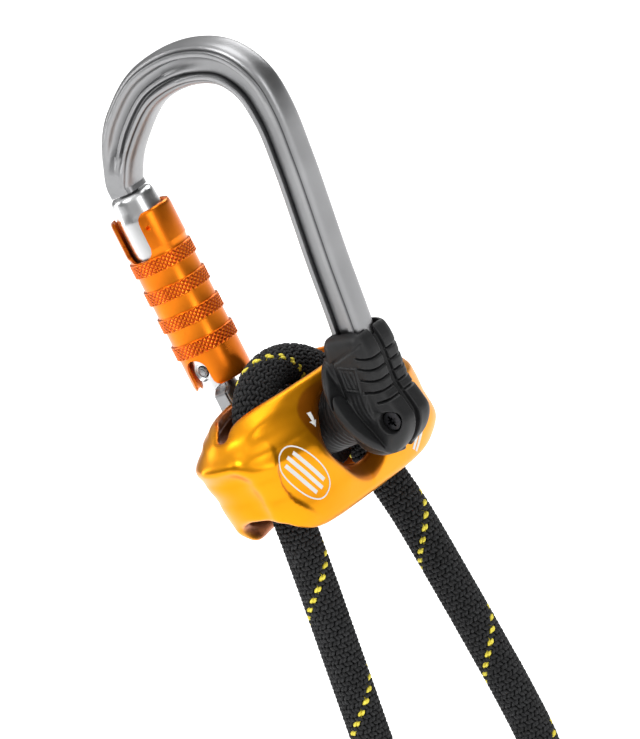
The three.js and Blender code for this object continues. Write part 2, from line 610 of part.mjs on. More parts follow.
// Sewn end: the rope is folded back on itself under a moulded cover and leaves a round eye.
const COVER_LENGTH = 26;
const COVER_RADIUS = 7;
const COVER_HALF_SPAN = 5.6;
const EYE_RADIUS = 9.5;
const FOLD_RADIUS = 5.2;

function cover([x, y, end]) {
  const outline = new THREE.Shape();
  outline.absarc(-COVER_HALF_SPAN, 0, COVER_RADIUS, Math.PI / 2, 3 * Math.PI / 2);
  outline.absarc(COVER_HALF_SPAN, 0, COVER_RADIUS, -Math.PI / 2, Math.PI / 2);
  return toSolid(new THREE.ExtrudeGeometry(outline, {
    depth: COVER_LENGTH - 2, bevelEnabled: true, bevelThickness: 1, bevelSize: 1, bevelOffset: -1,
    bevelSegments: 2, curveSegments: 6,
  }).rotateZ(Math.PI / 2).translate(x, y, end - GAP - COVER_LENGTH + 1));
}

const coverFoot = (end) => end - COVER_LENGTH - 2 * GAP;

function eye([x, y, end]) {
  const top = coverFoot(end);
  const centre = top - 14;
  const shoulder = top - 9;
  const points = [[x, y - COVER_HALF_SPAN, top], [x, y - COVER_HALF_SPAN, top - 2.5],
    [x, y - EYE_RADIUS, shoulder]];
  for (let i = 0; i <= 8; i += 1) {
    const angle = Math.PI + Math.PI * i / 8;
    points.push([x, y + EYE_RADIUS * Math.cos(angle), centre + EYE_RADIUS * Math.sin(angle)]);
  }
  points.push([x, y + EYE_RADIUS, shoulder], [x, y + COVER_HALF_SPAN, top - 2.5],
    [x, y + COVER_HALF_SPAN, top]);
  return toSolid(tube(route(points), ROPE_RADIUS - 0.1, 22, 10));
}

function foldedEnd([x, y, end]) {
  return toSolid(new THREE.SphereGeometry(FOLD_RADIUS, 12, 8).scale(1, 1.9, 1)
    .translate(x, y, coverFoot(end) - FOLD_RADIUS - 0.05));
}

// ---------------------------------------------------------------- assembly

const finish = {
  forged: { color: 0x9a9b9d, roughness: 0.45, metalness: 0.8 },
  polished: { color: 0xe2e3e5, roughness: 0.18, metalness: 0.95 },
  steel: { color: 0xb8babc, roughness: 0.3, metalness: 0.9 },
  orange: { color: 0xf07d00, roughness: 0.32, metalness: 0.7 },
  gold: { color: 0xf5b10f, roughness: 0.34, metalness: 0.7 },
  plastic: { color: 0x232324, roughness: 0.6, metalness: 0 },
  drum: { color: 0x111214, roughness: 0.25, metalness: 0.5 },
  brass: { color: 0xc8a24a, roughness: 0.35, metalness: 0.9 },
  rope: { color: 0x1c1d1f, roughness: 0.85, metalness: 0 },
};

const device = new THREE.Group();

function add(name, solid, look) {
  const mesh = new THREE.Mesh(toGeometry(solid), new THREE.MeshStandardMaterial(finish[look]));
  mesh.name = name;
  device.add(mesh);
}

const spool = drum();
const { left, right } = shells();
const loadEnd = loadRoute[loadRoute.length - 1];
const freeEnd = freeRoute[freeRoute.length - 1];

add('carabiner_frame', carabinerFrame(), 'forged');
add('hinge_pin', hingePin(), 'steel');
add('gate_barrel', gateBarrel(), 'polished');
add('gate_plunger', gatePlunger(), 'steel');
add('gate_spring', coil(1.85, 0.35, 9.7, 27.7, 9), 'steel');
add('locking_sleeve', lockingSleeve(), 'orange');
add('sleeve_guide_ring', guideRing(), 'steel');
add('sleeve_spring', coil(6.5, 0.45, 10.7, 29.7, 6), 'steel');
add('shell_left', left, 'plastic');
add('shell_right', right, 'plastic');
add('shell_screw', shellScrew(), 'steel');
add('shell_insert', shellInsert(), 'brass');
add('drum_half_left', half(spool, -1), 'drum');
add('drum_half_right', half(spool, 1), 'drum');
add('adjuster_body', adjusterBody(), 'gold');
add('rope_loop', toSolid(tube(heldPath, ROPE_RADIUS, 22)), 'rope');
add('load_strand', toSolid(tube(route(loadRoute), ROPE_RADIUS, 14)), 'rope');
add('free_strand', toSolid(tube(route(freeRoute), ROPE_RADIUS, 18)), 'rope');
add('load_end_cover', cover(loadEnd), 'plastic');
add('load_eye', eye(loadEnd), 'rope');
add('free_end_cover', cover(freeEnd), 'plastic');
add('free_end_fold', foldedEnd(freeEnd), 'rope');

export default device;
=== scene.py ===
"""Looks of a rope adjuster on a locking carabiner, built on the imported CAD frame. Lengths in the
making of a piece are millimetres, and a mesh is scaled to metres as it is written."""
import math

import bmesh
import bpy
import numpy as np
from mathutils import Matrix, Vector
from mathutils.bvhtree import BVHTree


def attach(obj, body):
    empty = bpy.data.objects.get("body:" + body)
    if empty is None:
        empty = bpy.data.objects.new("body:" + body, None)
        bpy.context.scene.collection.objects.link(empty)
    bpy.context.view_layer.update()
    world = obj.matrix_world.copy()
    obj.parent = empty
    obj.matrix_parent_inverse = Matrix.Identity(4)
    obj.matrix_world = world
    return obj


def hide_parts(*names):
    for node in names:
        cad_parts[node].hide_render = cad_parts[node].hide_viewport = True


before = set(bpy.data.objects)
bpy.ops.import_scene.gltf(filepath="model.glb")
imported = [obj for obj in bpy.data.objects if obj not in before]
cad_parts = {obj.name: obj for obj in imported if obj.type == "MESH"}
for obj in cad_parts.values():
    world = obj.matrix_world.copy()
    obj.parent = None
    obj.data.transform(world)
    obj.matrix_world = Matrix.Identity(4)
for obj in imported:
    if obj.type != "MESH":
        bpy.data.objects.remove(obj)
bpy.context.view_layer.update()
MM = 0.001

# ---- camera

AZIMUTH, ELEVATION, ROLL = math.radians(42), math.radians(16), math.radians(19.27)
DISTANCE = 3.0
VIEW_CENTRE = Vector((6.6, 0, -84.6))
PIXELS_PER_MM = 3.77
IMAGE_HEIGHT = 739
SENSOR = 36
away = Vector((math.cos(ELEVATION) * math.sin(AZIMUTH), -math.cos(ELEVATION) * math.cos(AZIMUTH),
               math.sin(ELEVATION)))
level = Vector((math.cos(AZIMUTH), math.sin(AZIMUTH), 0))
upright = away.cross(level)
camera = bpy.data.objects.new("camera", bpy.data.cameras.new("camera"))
camera.data.lens = PIXELS_PER_MM * SENSOR * DISTANCE / MM / IMAGE_HEIGHT
camera.matrix_world = Matrix.Translation(VIEW_CENTRE * MM + away * DISTANCE) @ Matrix((
    level * math.cos(ROLL) - upright * math.sin(ROLL),
    level * math.sin(ROLL) + upright * math.cos(ROLL), away)).transposed().to_4x4()
bpy.context.scene.collection.objects.link(camera)
bpy.context.scene.camera = camera
bpy.context.scene.view_settings.view_transform = "Standard"

# ---- shared dimensions, as in the CAD

GATE_TILT = math.radians(10)
PIVOT = np.array([-27.8, 0, -79.9])
GATE_AXIS = np.array([-math.sin(GATE_TILT), 0, math.cos(GATE_TILT)])
NOSE = PIVOT + 52 * GATE_AXIS
SPOOL_TILT = math.radians(13.8)
SPOOL = np.array([-5.8, 0, -101.3])
SPOOL_AXIS = np.array([math.cos(SPOOL_TILT), 0, math.sin(SPOOL_TILT)])
SPOOL_UP = np.array([-math.sin(SPOOL_TILT), 0, math.cos(SPOOL_TILT)])
GAP = 0.3
PIN_HOLE = 1.8
ROPE_RADIUS = 5.5
STRAND_START, LOAD_END, FREE_END = -112, -190, -214


# ---- meshes

def make(name, verts, faces, smooth=True):
    mesh = bpy.data.meshes.new(name)
    verts = np.asarray(verts, float) * MM
    mesh.from_pydata(verts.tolist(), [], faces if isinstance(faces, list) else faces.tolist())
    mesh.validate()
    if smooth:
        mesh.polygons.foreach_set("use_smooth", [True] * len(mesh.polygons))
    obj = bpy.data.objects.new(name, mesh)
    bpy.context.scene.collection.objects.link(obj)
    return obj


def mark_points(obj, name, values):
    layer = obj.data.attributes.new(name, "FLOAT", "POINT")
    layer.data.foreach_set("value", np.asarray(values, np.float32))


def grid_faces(rows, columns, closed_rows=False, closed_columns=True, start=0):
    """Quads over a rows x columns lattice of points."""
    r = np.arange(rows if closed_rows else rows - 1)
    c = np.arange(columns if closed_columns else columns - 1)
    r, c = (a.ravel() for a in np.meshgrid(r, c, indexing="ij"))
    r1, c1 = (r + 1) % rows, (c + 1) % columns
    return np.stack([r * columns + c, r * columns + c1, r1 * columns + c1, r1 * columns + c],
                    axis=1) + start


def capped_faces(rows, columns):
    """Faces of a tube made of rings of points, with a cap on each end."""
    caps = [list(range(columns)), list(range((rows - 1) * columns, rows * columns))]
    return grid_faces(rows, columns).tolist() + caps


def round_rings(centre, u, v, radius, count):
    """A ring of points round each place on a line."""
    turn = 2 * math.pi * np.arange(count) / count
    return centre[:, None] + radius * (np.cos(turn)[None, :, None] * u[:, None]
                                       + np.sin(turn)[None, :, None] * v[:, None])


def place(points, axis, origin):
    """Points whose Z runs along axis, with Y kept across the frame."""
    axis = np.asarray(axis, float)
    side = np.cross([0, 1, 0], axis)
    return points @ np.array([side, [0, 1, 0], axis]) + origin


def lathe(name, profile, segments, axis, origin):
    """Turned piece: profile is a list of (radius, height), closed when it ends where it began."""
    profile = np.asarray(profile, float)
    closed = np.allclose(profile[0], profile[-1])
    if closed:
        profile = profile[:-1]
    angle = np.linspace(0, 2 * math.pi, segments, endpoint=False)
    radius = np.repeat(profile[:, :1], segments, 1)
    height = np.repeat(profile[:, 1:], segments, 1)
    points = np.stack([radius * np.cos(angle), radius * np.sin(angle), height], -1).reshape(-1, 3)
    faces = grid_faces(len(profile), segments, closed_rows=closed).tolist()
    obj = make(name, place(points, axis, origin), faces)
    tidy_mesh(obj)
    return obj


def lay_across(obj, centre, turn=1):
    """Turns a piece made along Z so that it runs along Y through the centre."""
    obj.data.transform(Matrix.Translation(Vector(centre) * MM) @ Matrix.Rotation(turn * math.pi / 2, 4, "X"))


def tidy_mesh(obj):
    """Welds points that coincide and turns the faces outwards."""
    bpy.context.view_layer.objects.active = obj
    weld = obj.modifiers.new("weld", "WELD")
    weld.merge_threshold = 2e-6
    apply_modifiers(obj)
    work = bmesh.new()
    work.from_mesh(obj.data)
    bmesh.ops.recalc_face_normals(work, faces=work.faces)
    work.to_mesh(obj.data)
    work.free()


def apply_modifiers(obj):
    bpy.context.view_layer.update()
    graph = bpy.context.evaluated_depsgraph_get()
    mesh = bpy.data.meshes.new_from_object(obj.evaluated_get(graph), preserve_all_data_layers=True,
                                           depsgraph=graph)
    obj.modifiers.clear()
    obj.data = mesh


def boolean(obj, tool, operation="DIFFERENCE"):
    step = obj.modifiers.new("boolean", "BOOLEAN")
    step.operation = operation
    step.solver = "MANIFOLD"
    step.object = tool
    apply_modifiers(obj)
    bpy.data.objects.remove(tool)


def cut(obj, outline, along, low, high, axis=(0, 0, 1), origin=(0, 0, 0), operation="DIFFERENCE"):
    """Boolean with a closed prism over a 2-D outline, which is in (x, z) when the prism runs along
    "y" and in (x, y) when it runs along "z"."""
    outline = np.asarray(outline, float)
    order = {"y": (0, 2, 1), "z": (0, 1, 2)}[along]
    points = np.zeros((2, len(outline), 3))
    for k, end in enumerate((low, high)):
        points[k][:, order[0]] = outline[:, 0]
        points[k][:, order[1]] = outline[:, 1]
        points[k][:, order[2]] = end
    n = len(outline)
    faces = [list(range(n)), list(range(n, 2 * n))]
    faces += [[k, (k + 1) % n, n + (k + 1) % n, n + k] for k in range(n)]
    tool = make("cutter", place(points.reshape(-1, 3), axis, origin), faces, smooth=False)
    tidy_mesh(tool)
    boolean(obj, tool, operation)


def rectangle(x0, x1, y0, y1):
    return [(x0, y0), (x1, y0), (x1, y1), (x0, y1)]


def circle(x, y, radius, count=64, start=0, turn=2 * math.pi):
    angle = start + turn * np.arange(count) / count
    return np.stack([x + radius * np.cos(angle), y + radius * np.sin(angle)], -1)


def sharpen(obj, degrees=38):
    obj.data.set_sharp_from_angle(angle=math.radians(degrees))


# ---- curves

def centripetal(points, per_span=24, closed=False):
    """Centripetal Catmull-Rom line through the points."""
    points = np.asarray(points, float)
    if closed:
        points = np.vstack([points[-1], points, points[0], points[1]])
    else:
        points = np.vstack([2 * points[0] - points[1], points, 2 * points[-1] - points[-2]])
    line = []
    for p0, p1, p2, p3 in zip(points[:-3], points[1:-2], points[2:-1], points[3:]):
        d0, d1, d2 = (max(np.linalg.norm(b - a), 1e-6) ** 0.5
                      for a, b in ((p0, p1), (p1, p2), (p2, p3)))
        m1 = ((p1 - p0) / d0 - (p2 - p0) / (d0 + d1) + (p2 - p1) / d1) * d1
        m2 = ((p2 - p1) / d1 - (p3 - p1) / (d1 + d2) + (p3 - p2) / d2) * d1
        t = np.linspace(0, 1, per_span, endpoint=False)[:, None]
        line.append(p1 + m1 * t + (3 * (p2 - p1) - 2 * m1 - m2) * t ** 2
                    + (2 * (p1 - p2) + m1 + m2) * t ** 3)
    if not closed:
        line.append(points[-2][None])
    return np.vstack(line)


def flat_line(points, per_span, closed=False):
    return centripetal([(*p, 0) for p in points], per_span, closed)[:, :2]


class Line:
    """Polyline by arc length, with a frame that doesn't twist along it."""

    def __init__(self, points, first_side=(0, 1, 0)):
        self.points = np.asarray(points, float)
        self.s = np.concatenate([[0], np.cumsum(np.linalg.norm(np.diff(self.points, axis=0), axis=1))])
        self.length = self.s[-1]
        tangent = np.gradient(self.points, self.s, axis=0)
        self.t = tangent / np.linalg.norm(tangent, axis=1)[:, None]
        u = np.asarray(first_side, float)
        sides = []
        for t in self.t:
            u = u - t * (u @ t)
            u = u / np.linalg.norm(u)
            sides.append(u)
        self.u = np.array(sides)
        self.v = np.cross(self.t, self.u)

    def at(self, s, what="points"):
        source = getattr(self, what)
        return np.stack([np.interp(s, self.s, source[:, k]) for k in range(3)], -1)


def ease(x, low, high):
    t = np.clip((np.asarray(x, float) - low) / (high - low), 0, 1)
    return t * t * (3 - 2 * t)


def blended(pairs):
    """Smooth value between (position, value) pairs."""
    def value(at):
        at = np.asarray(at, float)
        out = np.full(at.shape, float(pairs[0][1]))
        for (p0, v0), (p1, v1) in zip(pairs[:-1], pairs[1:]):
            out = out + (v1 - v0) * ease(at, p0, p1)
        return out
    return value


# ---- solid fields

def smooth_max(a, b, k):
    h = np.clip(k - np.abs(a - b), 0, None) / k
    return np.maximum(a, b) + h * h * k / 4


def smooth_min(a, b, k):
    return -smooth_max(-a, -b, k)


def carve(field, tool, k):
    return smooth_max(field, -tool, k)


def outline_distance(outline, u, v):
    """Signed distance from each (u, v) to a closed outline, negative inside."""
    outline = np.asarray(outline, float)
    best = np.full(u.shape, np.inf)
    inside = np.zeros(u.shape, bool)
    for (ax, ay), (bx, by) in zip(outline, np.roll(outline, -1, axis=0)):
        ex, ey = bx - ax, by - ay
        t = np.clip(((u - ax) * ex + (v - ay) * ey) / (ex * ex + ey * ey + 1e-12), 0, 1)
        best = np.minimum(best, (u - ax - t * ex) ** 2 + (v - ay - t * ey) ** 2)
        if ay != by:
            crossing = (ay > v) != (by > v)
            inside ^= crossing & (u < ex * (v - ay) / (by - ay) + ax)
    return np.where(inside, -1, 1) * np.sqrt(best)


def to_segment(x, z, a, b):
    """Distance in a plane to the segment from a to b, and how far along it the nearest place is."""
    ex, ez = b[0] - a[0], b[1] - a[1]
    t = np.clip(((x - a[0]) * ex + (z - a[1]) * ez) / (ex ** 2 + ez ** 2), 0, 1)
    return np.sqrt((x - a[0] - t * ex) ** 2 + (z - a[1] - t * ez) ** 2), t


def axes(low, high, step):
    return [np.arange(a, b + step, step) for a, b in zip(low, high)]


def surface(name, value, xs, ys, zs):
    """Quad mesh of the surface where value is 0, negative inside, by surface nets."""
    step = xs[1] - xs[0]
    value = np.where(np.abs(value) < 1e-6, 1e-6, value)
    shape = tuple(n - 1 for n in value.shape)
    total = np.zeros(shape + (3,), np.float32)
    count = np.zeros(shape, np.float32)
    corners = [(a, b, c) for a in (0, 1) for b in (0, 1) for c in (0, 1)]

    def at(corner):
        return value[corner[0]:shape[0] + corner[0], corner[1]:shape[1] + corner[1],
                     corner[2]:shape[2] + corner[2]]

    for a in corners:
        for axis in range(3):
            if a[axis]:
                continue
            b = tuple(1 if k == axis else a[k] for k in range(3))
            va, vb = at(a), at(b)
            cross = (va < 0) != (vb < 0)
            t = np.where(cross, va / np.where(cross, va - vb, 1), 0)
            for k in range(3):
                total[..., k] += np.where(cross, a[k] + (t if k == axis else 0), 0)
            count += cross
    used = count > 0
    index = np.full(shape, -1, np.int64)
    index[used] = np.arange(used.sum())
    where = np.argwhere(used)
    points = (where + total[used] / count[used][:, None]) * step + [xs[0], ys[0], zs[0]]
    faces = []
    for axis in range(3):
        p, q = [k for k in range(3) if k != axis]
        low = [slice(1, -1)] * 3
        high = [slice(1, -1)] * 3
        low[axis], high[axis] = slice(0, -1), slice(1, None)
        va, vb = value[tuple(low)], value[tuple(high)]
        cells = np.argwhere((va < 0) != (vb < 0))
        flip = (va < 0)[tuple(cells.T)]
        cells = cells + [0 if k == axis else 1 for k in range(3)]
        ring = []
        for dp, dq in ((0, 0), (1, 0), (1, 1), (0, 1)):
            c = cells.copy()
            c[:, p] -= dp
            c[:, q] -= dq
            ring.append(index[tuple(c.T)])
        ring = np.stack(ring, 1)
        if axis == 1:
            flip = ~flip
        faces.append(np.where(flip[:, None], ring[:, ::-1], ring))
    obj = make(name, points, np.vstack(faces)[:, ::-1])
    relax = obj.modifiers.new("relax", "SMOOTH")
    relax.factor, relax.iterations = 0.5, 3
    apply_modifiers(obj)
    return obj


# ---- materials

class Shader:
    """The nodes of a material or of the world."""

    def __init__(self, owner):
        owner.use_nodes = True
        self.owner = owner
        self.nodes, self.links = owner.node_tree.nodes, owner.node_tree.links

    def put(self, node, values):
        """Sets a node's inputs to values, or links them to other nodes' outputs."""
        for key, value in values.items():
            if isinstance(value, bpy.types.NodeSocket):
                self.links.new(value, node.inputs[key])
            else:
                node.inputs[key].default_value = value

    def principled(self, values):
        self.put(self.nodes["Principled BSDF"], values)

    def add(self, kind, values, output, **settings):
        node = self.nodes.new("ShaderNode" + kind)
        for key, setting in settings.items():
            setattr(node, key, setting)
        self.put(node, values)
        return node.outputs[output]

    def noise(self, scale, detail=4):
        at = self.add("TexCoord", {}, "Object")
        return self.add("TexNoise", {"Scale": scale, "Detail": detail, "Vector": at}, "Fac")

    def attribute(self, name):
        return self.add("Attribute", {}, "Fac", attribute_name=name)

    def ramp(self, source, stops):
        """Colour by source. A stop is a position and a colour, or a position and a grey."""
        stops = [(at, (colour,) * 3 if isinstance(colour, float) else colour) for at, colour in stops]
        node = self.nodes.new("ShaderNodeValToRGB")
        elements = node.color_ramp.elements
        for element, (position, colour) in zip(elements, (stops[0], stops[-1])):
            element.position, element.color = position, (*colour, 1)
        for position, colour in stops[1:-1]:
            elements.new(position).color = (*colour, 1)
        self.put(node, {"Fac": source})
        return node.outputs["Color"]

    def mix(self, factor, a, b):
        b = b if isinstance(b, bpy.types.NodeSocket) else (*b, 1)
        return self.add("Mix", {"Factor": factor, "A": a, "B": b}, "Result", data_type="RGBA")

    def remap(self, source, low, high, from_low=0.0, from_high=1.0):
        return self.add("MapRange", {"From Min": from_low, "From Max": from_high, "To Min": low,
                                     "To Max": high, "Value": source}, "Result")

    def bump(self, height, strength, distance):
        self.principled({"Normal": self.add("Bump", {"Strength": strength, "Distance": distance,
                                                     "Height": height}, "Normal")})


def metal(name, dark, light, roughness, bump_scale=900, bump=0.05, metallic=1.0, layer=None,
          groove=None):
    """Metal with soft colour variation, worn roughness and a fine grain. Where the mesh's layer is
    high, the colour goes to groove, a darker colour that is painted shade."""
    shader = Shader(bpy.data.materials.new(name))
    colour = shader.ramp(shader.noise(60, 6), [(0.35, dark), (0.65, light)])
    if layer:
        colour = shader.mix(shader.attribute(layer), colour, groove)
    shader.principled({"Metallic": metallic, "Base Color": colour,
                       "Roughness": shader.remap(shader.noise(240, 5), *roughness)})
    shader.bump(shader.noise(bump_scale, 3), bump, 0.0002)
    return shader.owner


def plastic(name, dark, light, roughness, grain=1400, bump=0.25):
    shader = Shader(bpy.data.materials.new(name))
    shader.principled({"Specular IOR Level": 0.3,
                       "Base Color": shader.ramp(shader.noise(90, 5), [(0.3, dark), (0.7, light)]),
                       "Roughness": shader.remap(shader.noise(300, 4), *roughness)})
    shader.bump(shader.noise(grain, 3), bump, 0.0001)
    return shader.owner


def rope_fibre(name):
    """Braided yarn with a little wear, with the tracer's yarn picked out in yellow."""
    shader = Shader(bpy.data.materials.new(name))
    black = shader.ramp(shader.attribute("ply"), [(0, (0.006, 0.0062, 0.0068)), (1, (0.015, 0.0154, 0.0165))])
    worn = shader.ramp(shader.noise(700, 5), [(0.45, 0.0), (0.8, 1.0)])
    black = shader.mix(worn, black, (0.024, 0.0245, 0.026))
    yellow = shader.ramp(shader.noise(900, 4), [(0.3, (0.62, 0.5, 0.03)), (0.7, (0.86, 0.76, 0.1))])
    shader.principled({"Specular IOR Level": 0.3, "Sheen Weight": 0.05, "Sheen Roughness": 0.5,
                       "Base Color": shader.mix(shader.attribute("tracer"), black, yellow),
                       "Roughness": shader.remap(shader.noise(500, 3), 0.62, 0.85)})
    shader.bump(shader.noise(2600, 3), 0.5, 0.0002)
    return shader.owner


look = {
    # forged grey: the crease layer paints shade, near black, into the frame's creases
    "forged": metal("forged_grey", (0.26, 0.261, 0.266), (0.31, 0.311, 0.317), (0.32, 0.44), bump=0.1,
                    layer="crease", groove=(0.03, 0.03, 0.032)),
    "gate": metal("polished_gate", (0.64, 0.645, 0.65), (0.68, 0.685, 0.69), (0.27, 0.31), bump=0.015),
    "steel": metal("drawn_steel", (0.5, 0.51, 0.52), (0.62, 0.63, 0.64), (0.2, 0.34), bump=0.06),
    "spring": metal("spring_wire", (0.42, 0.43, 0.44), (0.55, 0.56, 0.57), (0.22, 0.36)),
    # orange anodised: the groove layer paints dark red shade into the knurl's grooves
    "sleeve": metal("orange_anodised", (0.74, 0.16, 0.003), (0.8, 0.2, 0.005), (0.26, 0.3), bump=0.02,
                    metallic=0.85, layer="groove", groove=(0.42, 0.03, 0.004)),
    # gold anodised: the inside layer paints dark brown shade and reflection on the inner surfaces and the
    # window's lip
    "body": metal("gold_anodised", (0.73, 0.27, 0.001), (0.78, 0.3, 0.002), (0.3, 0.36),
                  bump_scale=500, metallic=0.85, layer="inside", groove=(0.36, 0.085, 0.002)),
    "shell": plastic("moulded_black", (0.008, 0.0081, 0.0085), (0.013, 0.0132, 0.0138), (0.42, 0.56)),
    "cover": plastic("cover_black", (0.009, 0.0091, 0.0095), (0.014, 0.0142, 0.0148), (0.5, 0.66), 900, 0.35),
    "drum": metal("drum_black", (0.012, 0.012, 0.014), (0.024, 0.024, 0.028), (0.16, 0.3), metallic=0.0),
    "screw": metal("screw_black", (0.03, 0.03, 0.033), (0.06, 0.06, 0.065), (0.28, 0.42), bump=0.12),
    "insert": metal("brass_insert", (0.6, 0.44, 0.16), (0.74, 0.56, 0.24), (0.25, 0.4)),
    "rope": rope_fibre("braided_sheath"),
    "core": plastic("rope_core", (0.006, 0.006, 0.007), (0.012, 0.012, 0.013), (0.8, 0.95), 1200, 0.6),
    "print": plastic("white_print", (0.62, 0.62, 0.6), (0.7, 0.7, 0.68), (0.45, 0.6), 1500, 0.1),
}


def finish(obj, body, node, finish_slot, *materials):
    """Puts a piece in place of CAD nodes, with its materials."""
    obj.data.materials.clear()
    for name in materials:
        obj.data.materials.append(look[name])
    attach(obj, body)
    for name in ([node] if isinstance(node, str) else node or []):
        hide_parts(name)
    return obj


# ---- rope

LOAD_ROUTE = [[-3.6, -18.6, -112.3], [-3.4, -18.6, -118], [-3.2, -18.5, -125], [-3.1, -18.5, -132]]
LOAD_ROUTE += [[-3, -18.5, z] for z in (-139, -146, -153, -160, -167, -174, -179, -184, -187, LOAD_END)]
FREE_ROUTE = [
    [-3.9, 18.7, -112.3], [-2.4, 18.9, -118], [-0.4, 19.3, -125], [1.5, 20, -132], [3, 20.7, -139],
    [4.2, 21.4, -146], [5.3, 22.1, -153], [6.4, 22.8, -160], [7.5, 23.5, -167], [8.5, 24.2, -174],
    [9.5, 24.9, -181], [10.5, 25.6, -188], [11.4, 26.2, -195], [12.1, 26.7, -201], [12.6, 27, -206],
    [12.8, 27.1, -210], [12.8, 27.1, FREE_END]]
loop_angle = np.radians(np.linspace(-90, 90, 11))
loop_points = (SPOOL + 18.5 * np.sin(loop_angle)[:, None] * [0, 1, 0]
               + 18.5 * np.cos(loop_angle)[:, None] * SPOOL_UP)
whole_rope = Line(centripetal(np.vstack([LOAD_ROUTE[:0:-1], [[-3.74, -18.6, -108]], loop_points,
                                         [[-5.03, 18.55, -108]], FREE_ROUTE[1:]])), (1, 0, 0))
CARRIERS = 14
PLIES = 2
PLY_GAP = 0.72
PLY_WIDTH = 0.46
PLY_HEIGHT = 0.44
BRAID_WAVE = 0.54
WAVE_STEEPNESS = 2.6
CORE_DEPTH = 1.3
ROPE_STEP = 0.3
PLY_SIDES = 8


def braid(name, line, start, end, radius=ROPE_RADIUS, pitch=36.5, over=0.0, turn=0.0):
    """Carriers both ways, over one and under one, each of two plies, round a dark core. The
    tracer's yarn lies over the others at arc length over, turned that many degrees round."""
    omega = 2 * math.pi / pitch
    s = np.linspace(start, end, max(8, int(round((end - start) / ROPE_STEP))))
    centre, u, v = (line.at(s, what) for what in ("points", "u", "v"))
    around = 2 * math.pi * np.arange(PLY_SIDES) / PLY_SIDES
    middle = radius - PLY_HEIGHT - BRAID_WAVE
    slant = math.atan(omega * radius)
    rng = np.random.default_rng(7)
    verts, faces, tracer, tone = [], [], [], []
    for way in (1, -1):
        wave = np.tanh(WAVE_STEEPNESS * np.cos(CARRIERS * omega * (s - over)))
        lift = way * BRAID_WAVE * wave / math.tanh(WAVE_STEEPNESS)
        for carrier in range(CARRIERS):
            for ply in range(PLIES):
                shift = (ply - (PLIES - 1) / 2) * PLY_GAP / (radius * math.cos(slant))
                angle = (way * omega * (s - over) + 2 * math.pi * carrier / CARRIERS + shift
                         + math.radians(turn))
                out = np.cos(angle)[:, None] * u + np.sin(angle)[:, None] * v
                spine = centre + (middle + lift)[:, None] * out
                run = np.gradient(spine, axis=0)
                run /= np.linalg.norm(run, axis=1)[:, None]
                side = np.cross(run, out)
                ring = (spine[:, None] + PLY_HEIGHT * np.cos(around)[None, :, None] * out[:, None]
                        + PLY_WIDTH * np.sin(around)[None, :, None] * side[:, None])
                verts.append(ring.reshape(-1, 3))
                count = len(s) * PLY_SIDES
                faces.append(grid_faces(len(s), PLY_SIDES, start=len(tone) * count))
                tracer.append(np.full(count, float(way == 1 and carrier == 0)))
                tone.append(np.full(count, rng.random()))
    strands = make(name, np.vstack(verts), np.vstack(faces))
    mark_points(strands, "tracer", np.concatenate(tracer))
    mark_points(strands, "ply", np.concatenate(tone))
    ring = round_rings(centre, u, v, radius - CORE_DEPTH, 32)
    core = make(name + "_core", ring.reshape(-1, 3), capped_faces(len(s), 32))
    return strands, core


def join_pieces(main, other):
    """Adds a mesh to the main one, where it keeps its own material slot."""
    with bpy.context.temp_override(active_object=main, selected_editable_objects=[main, other]):
        bpy.ops.object.join()


def rope_piece(name, body, node, line, start, end, **options):
    strands, core = braid(name, line, start, end, **options)
    strands.data.materials.append(look["rope"])
    core.data.materials.append(look["core"])
    join_pieces(strands, core)
    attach(strands, body)
    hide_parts(node)
    return strands


def where(line, height, side):
    """Arc length where the rope passes a height on one side of the spool."""
    on_side = np.sign(line.points[:, 1]) == side
    k = np.argmin(np.where(on_side, np.abs(line.points[:, 2] - height), np.inf))
    return line.s[k]


load_top = where(whole_rope, STRAND_START - 0.15, -1)
free_top = where(whole_rope, STRAND_START - 0.15, 1)
rope_piece("held_rope", "carabiner", "rope_loop", whole_rope, load_top + 0.1, free_top - 0.1,
           over=114.4, turn=-72)
load_rope = rope_piece("load_rope", "carabiner", "load_strand", whole_rope, 0, load_top - 0.1,
                       over=54.25, turn=-26)
free_rope = rope_piece("free_rope", "carabiner", "free_strand", whole_rope, free_top + 0.1,
                       whole_rope.length, over=187.03, turn=36)

COVER_LENGTH = 26
COVER_EDGE = 1.6
RIB_PITCH = 2.2


def end_cover(name, node, end):
    """Moulded cover over the stitched end: a flattened sleeve with grip ribs and rounded ends."""
    x, y, top = end
    rows = np.linspace(0, COVER_LENGTH, 131)
    edge = np.clip(np.minimum(rows, COVER_LENGTH - rows), 0, COVER_EDGE)
    inset = COVER_EDGE - np.sqrt(np.clip(COVER_EDGE ** 2 - (COVER_EDGE - edge) ** 2, 0, None))
    from_middle = rows - COVER_LENGTH / 2
    ribs = 0.22 * (1 + np.cos(2 * math.pi * from_middle / RIB_PITCH))
    ribs = ribs * ease(rows, 5.5, 7) * (1 - ease(rows, 19, 20.5))
    waist = 0.5 * np.cos(math.pi * from_middle / COVER_LENGTH) ** 2
    turn = 2 * math.pi * np.arange(128) / 128
    c, s = np.cos(turn), np.sin(turn)
    verts = []
    for z, pull in zip(rows, inset + waist + ribs):
        radius = 7 - pull
        verts.append(np.stack([x + radius * c, y + 5.6 * np.tanh(6 * s) + radius * s,
                               np.full(128, top - GAP - COVER_LENGTH + z)], -1))
    cover_piece = make(name, np.vstack(verts), capped_faces(len(rows), 128))
    tidy_mesh(cover_piece)
    sharpen(cover_piece, 50)
    return finish(cover_piece, "carabiner", node, "cover", "cover")


def foot_of(end):
    """Where the rope comes out of the cover on a strand's end."""
    return np.array(end) - [0, 0, COVER_LENGTH + 2 * GAP]


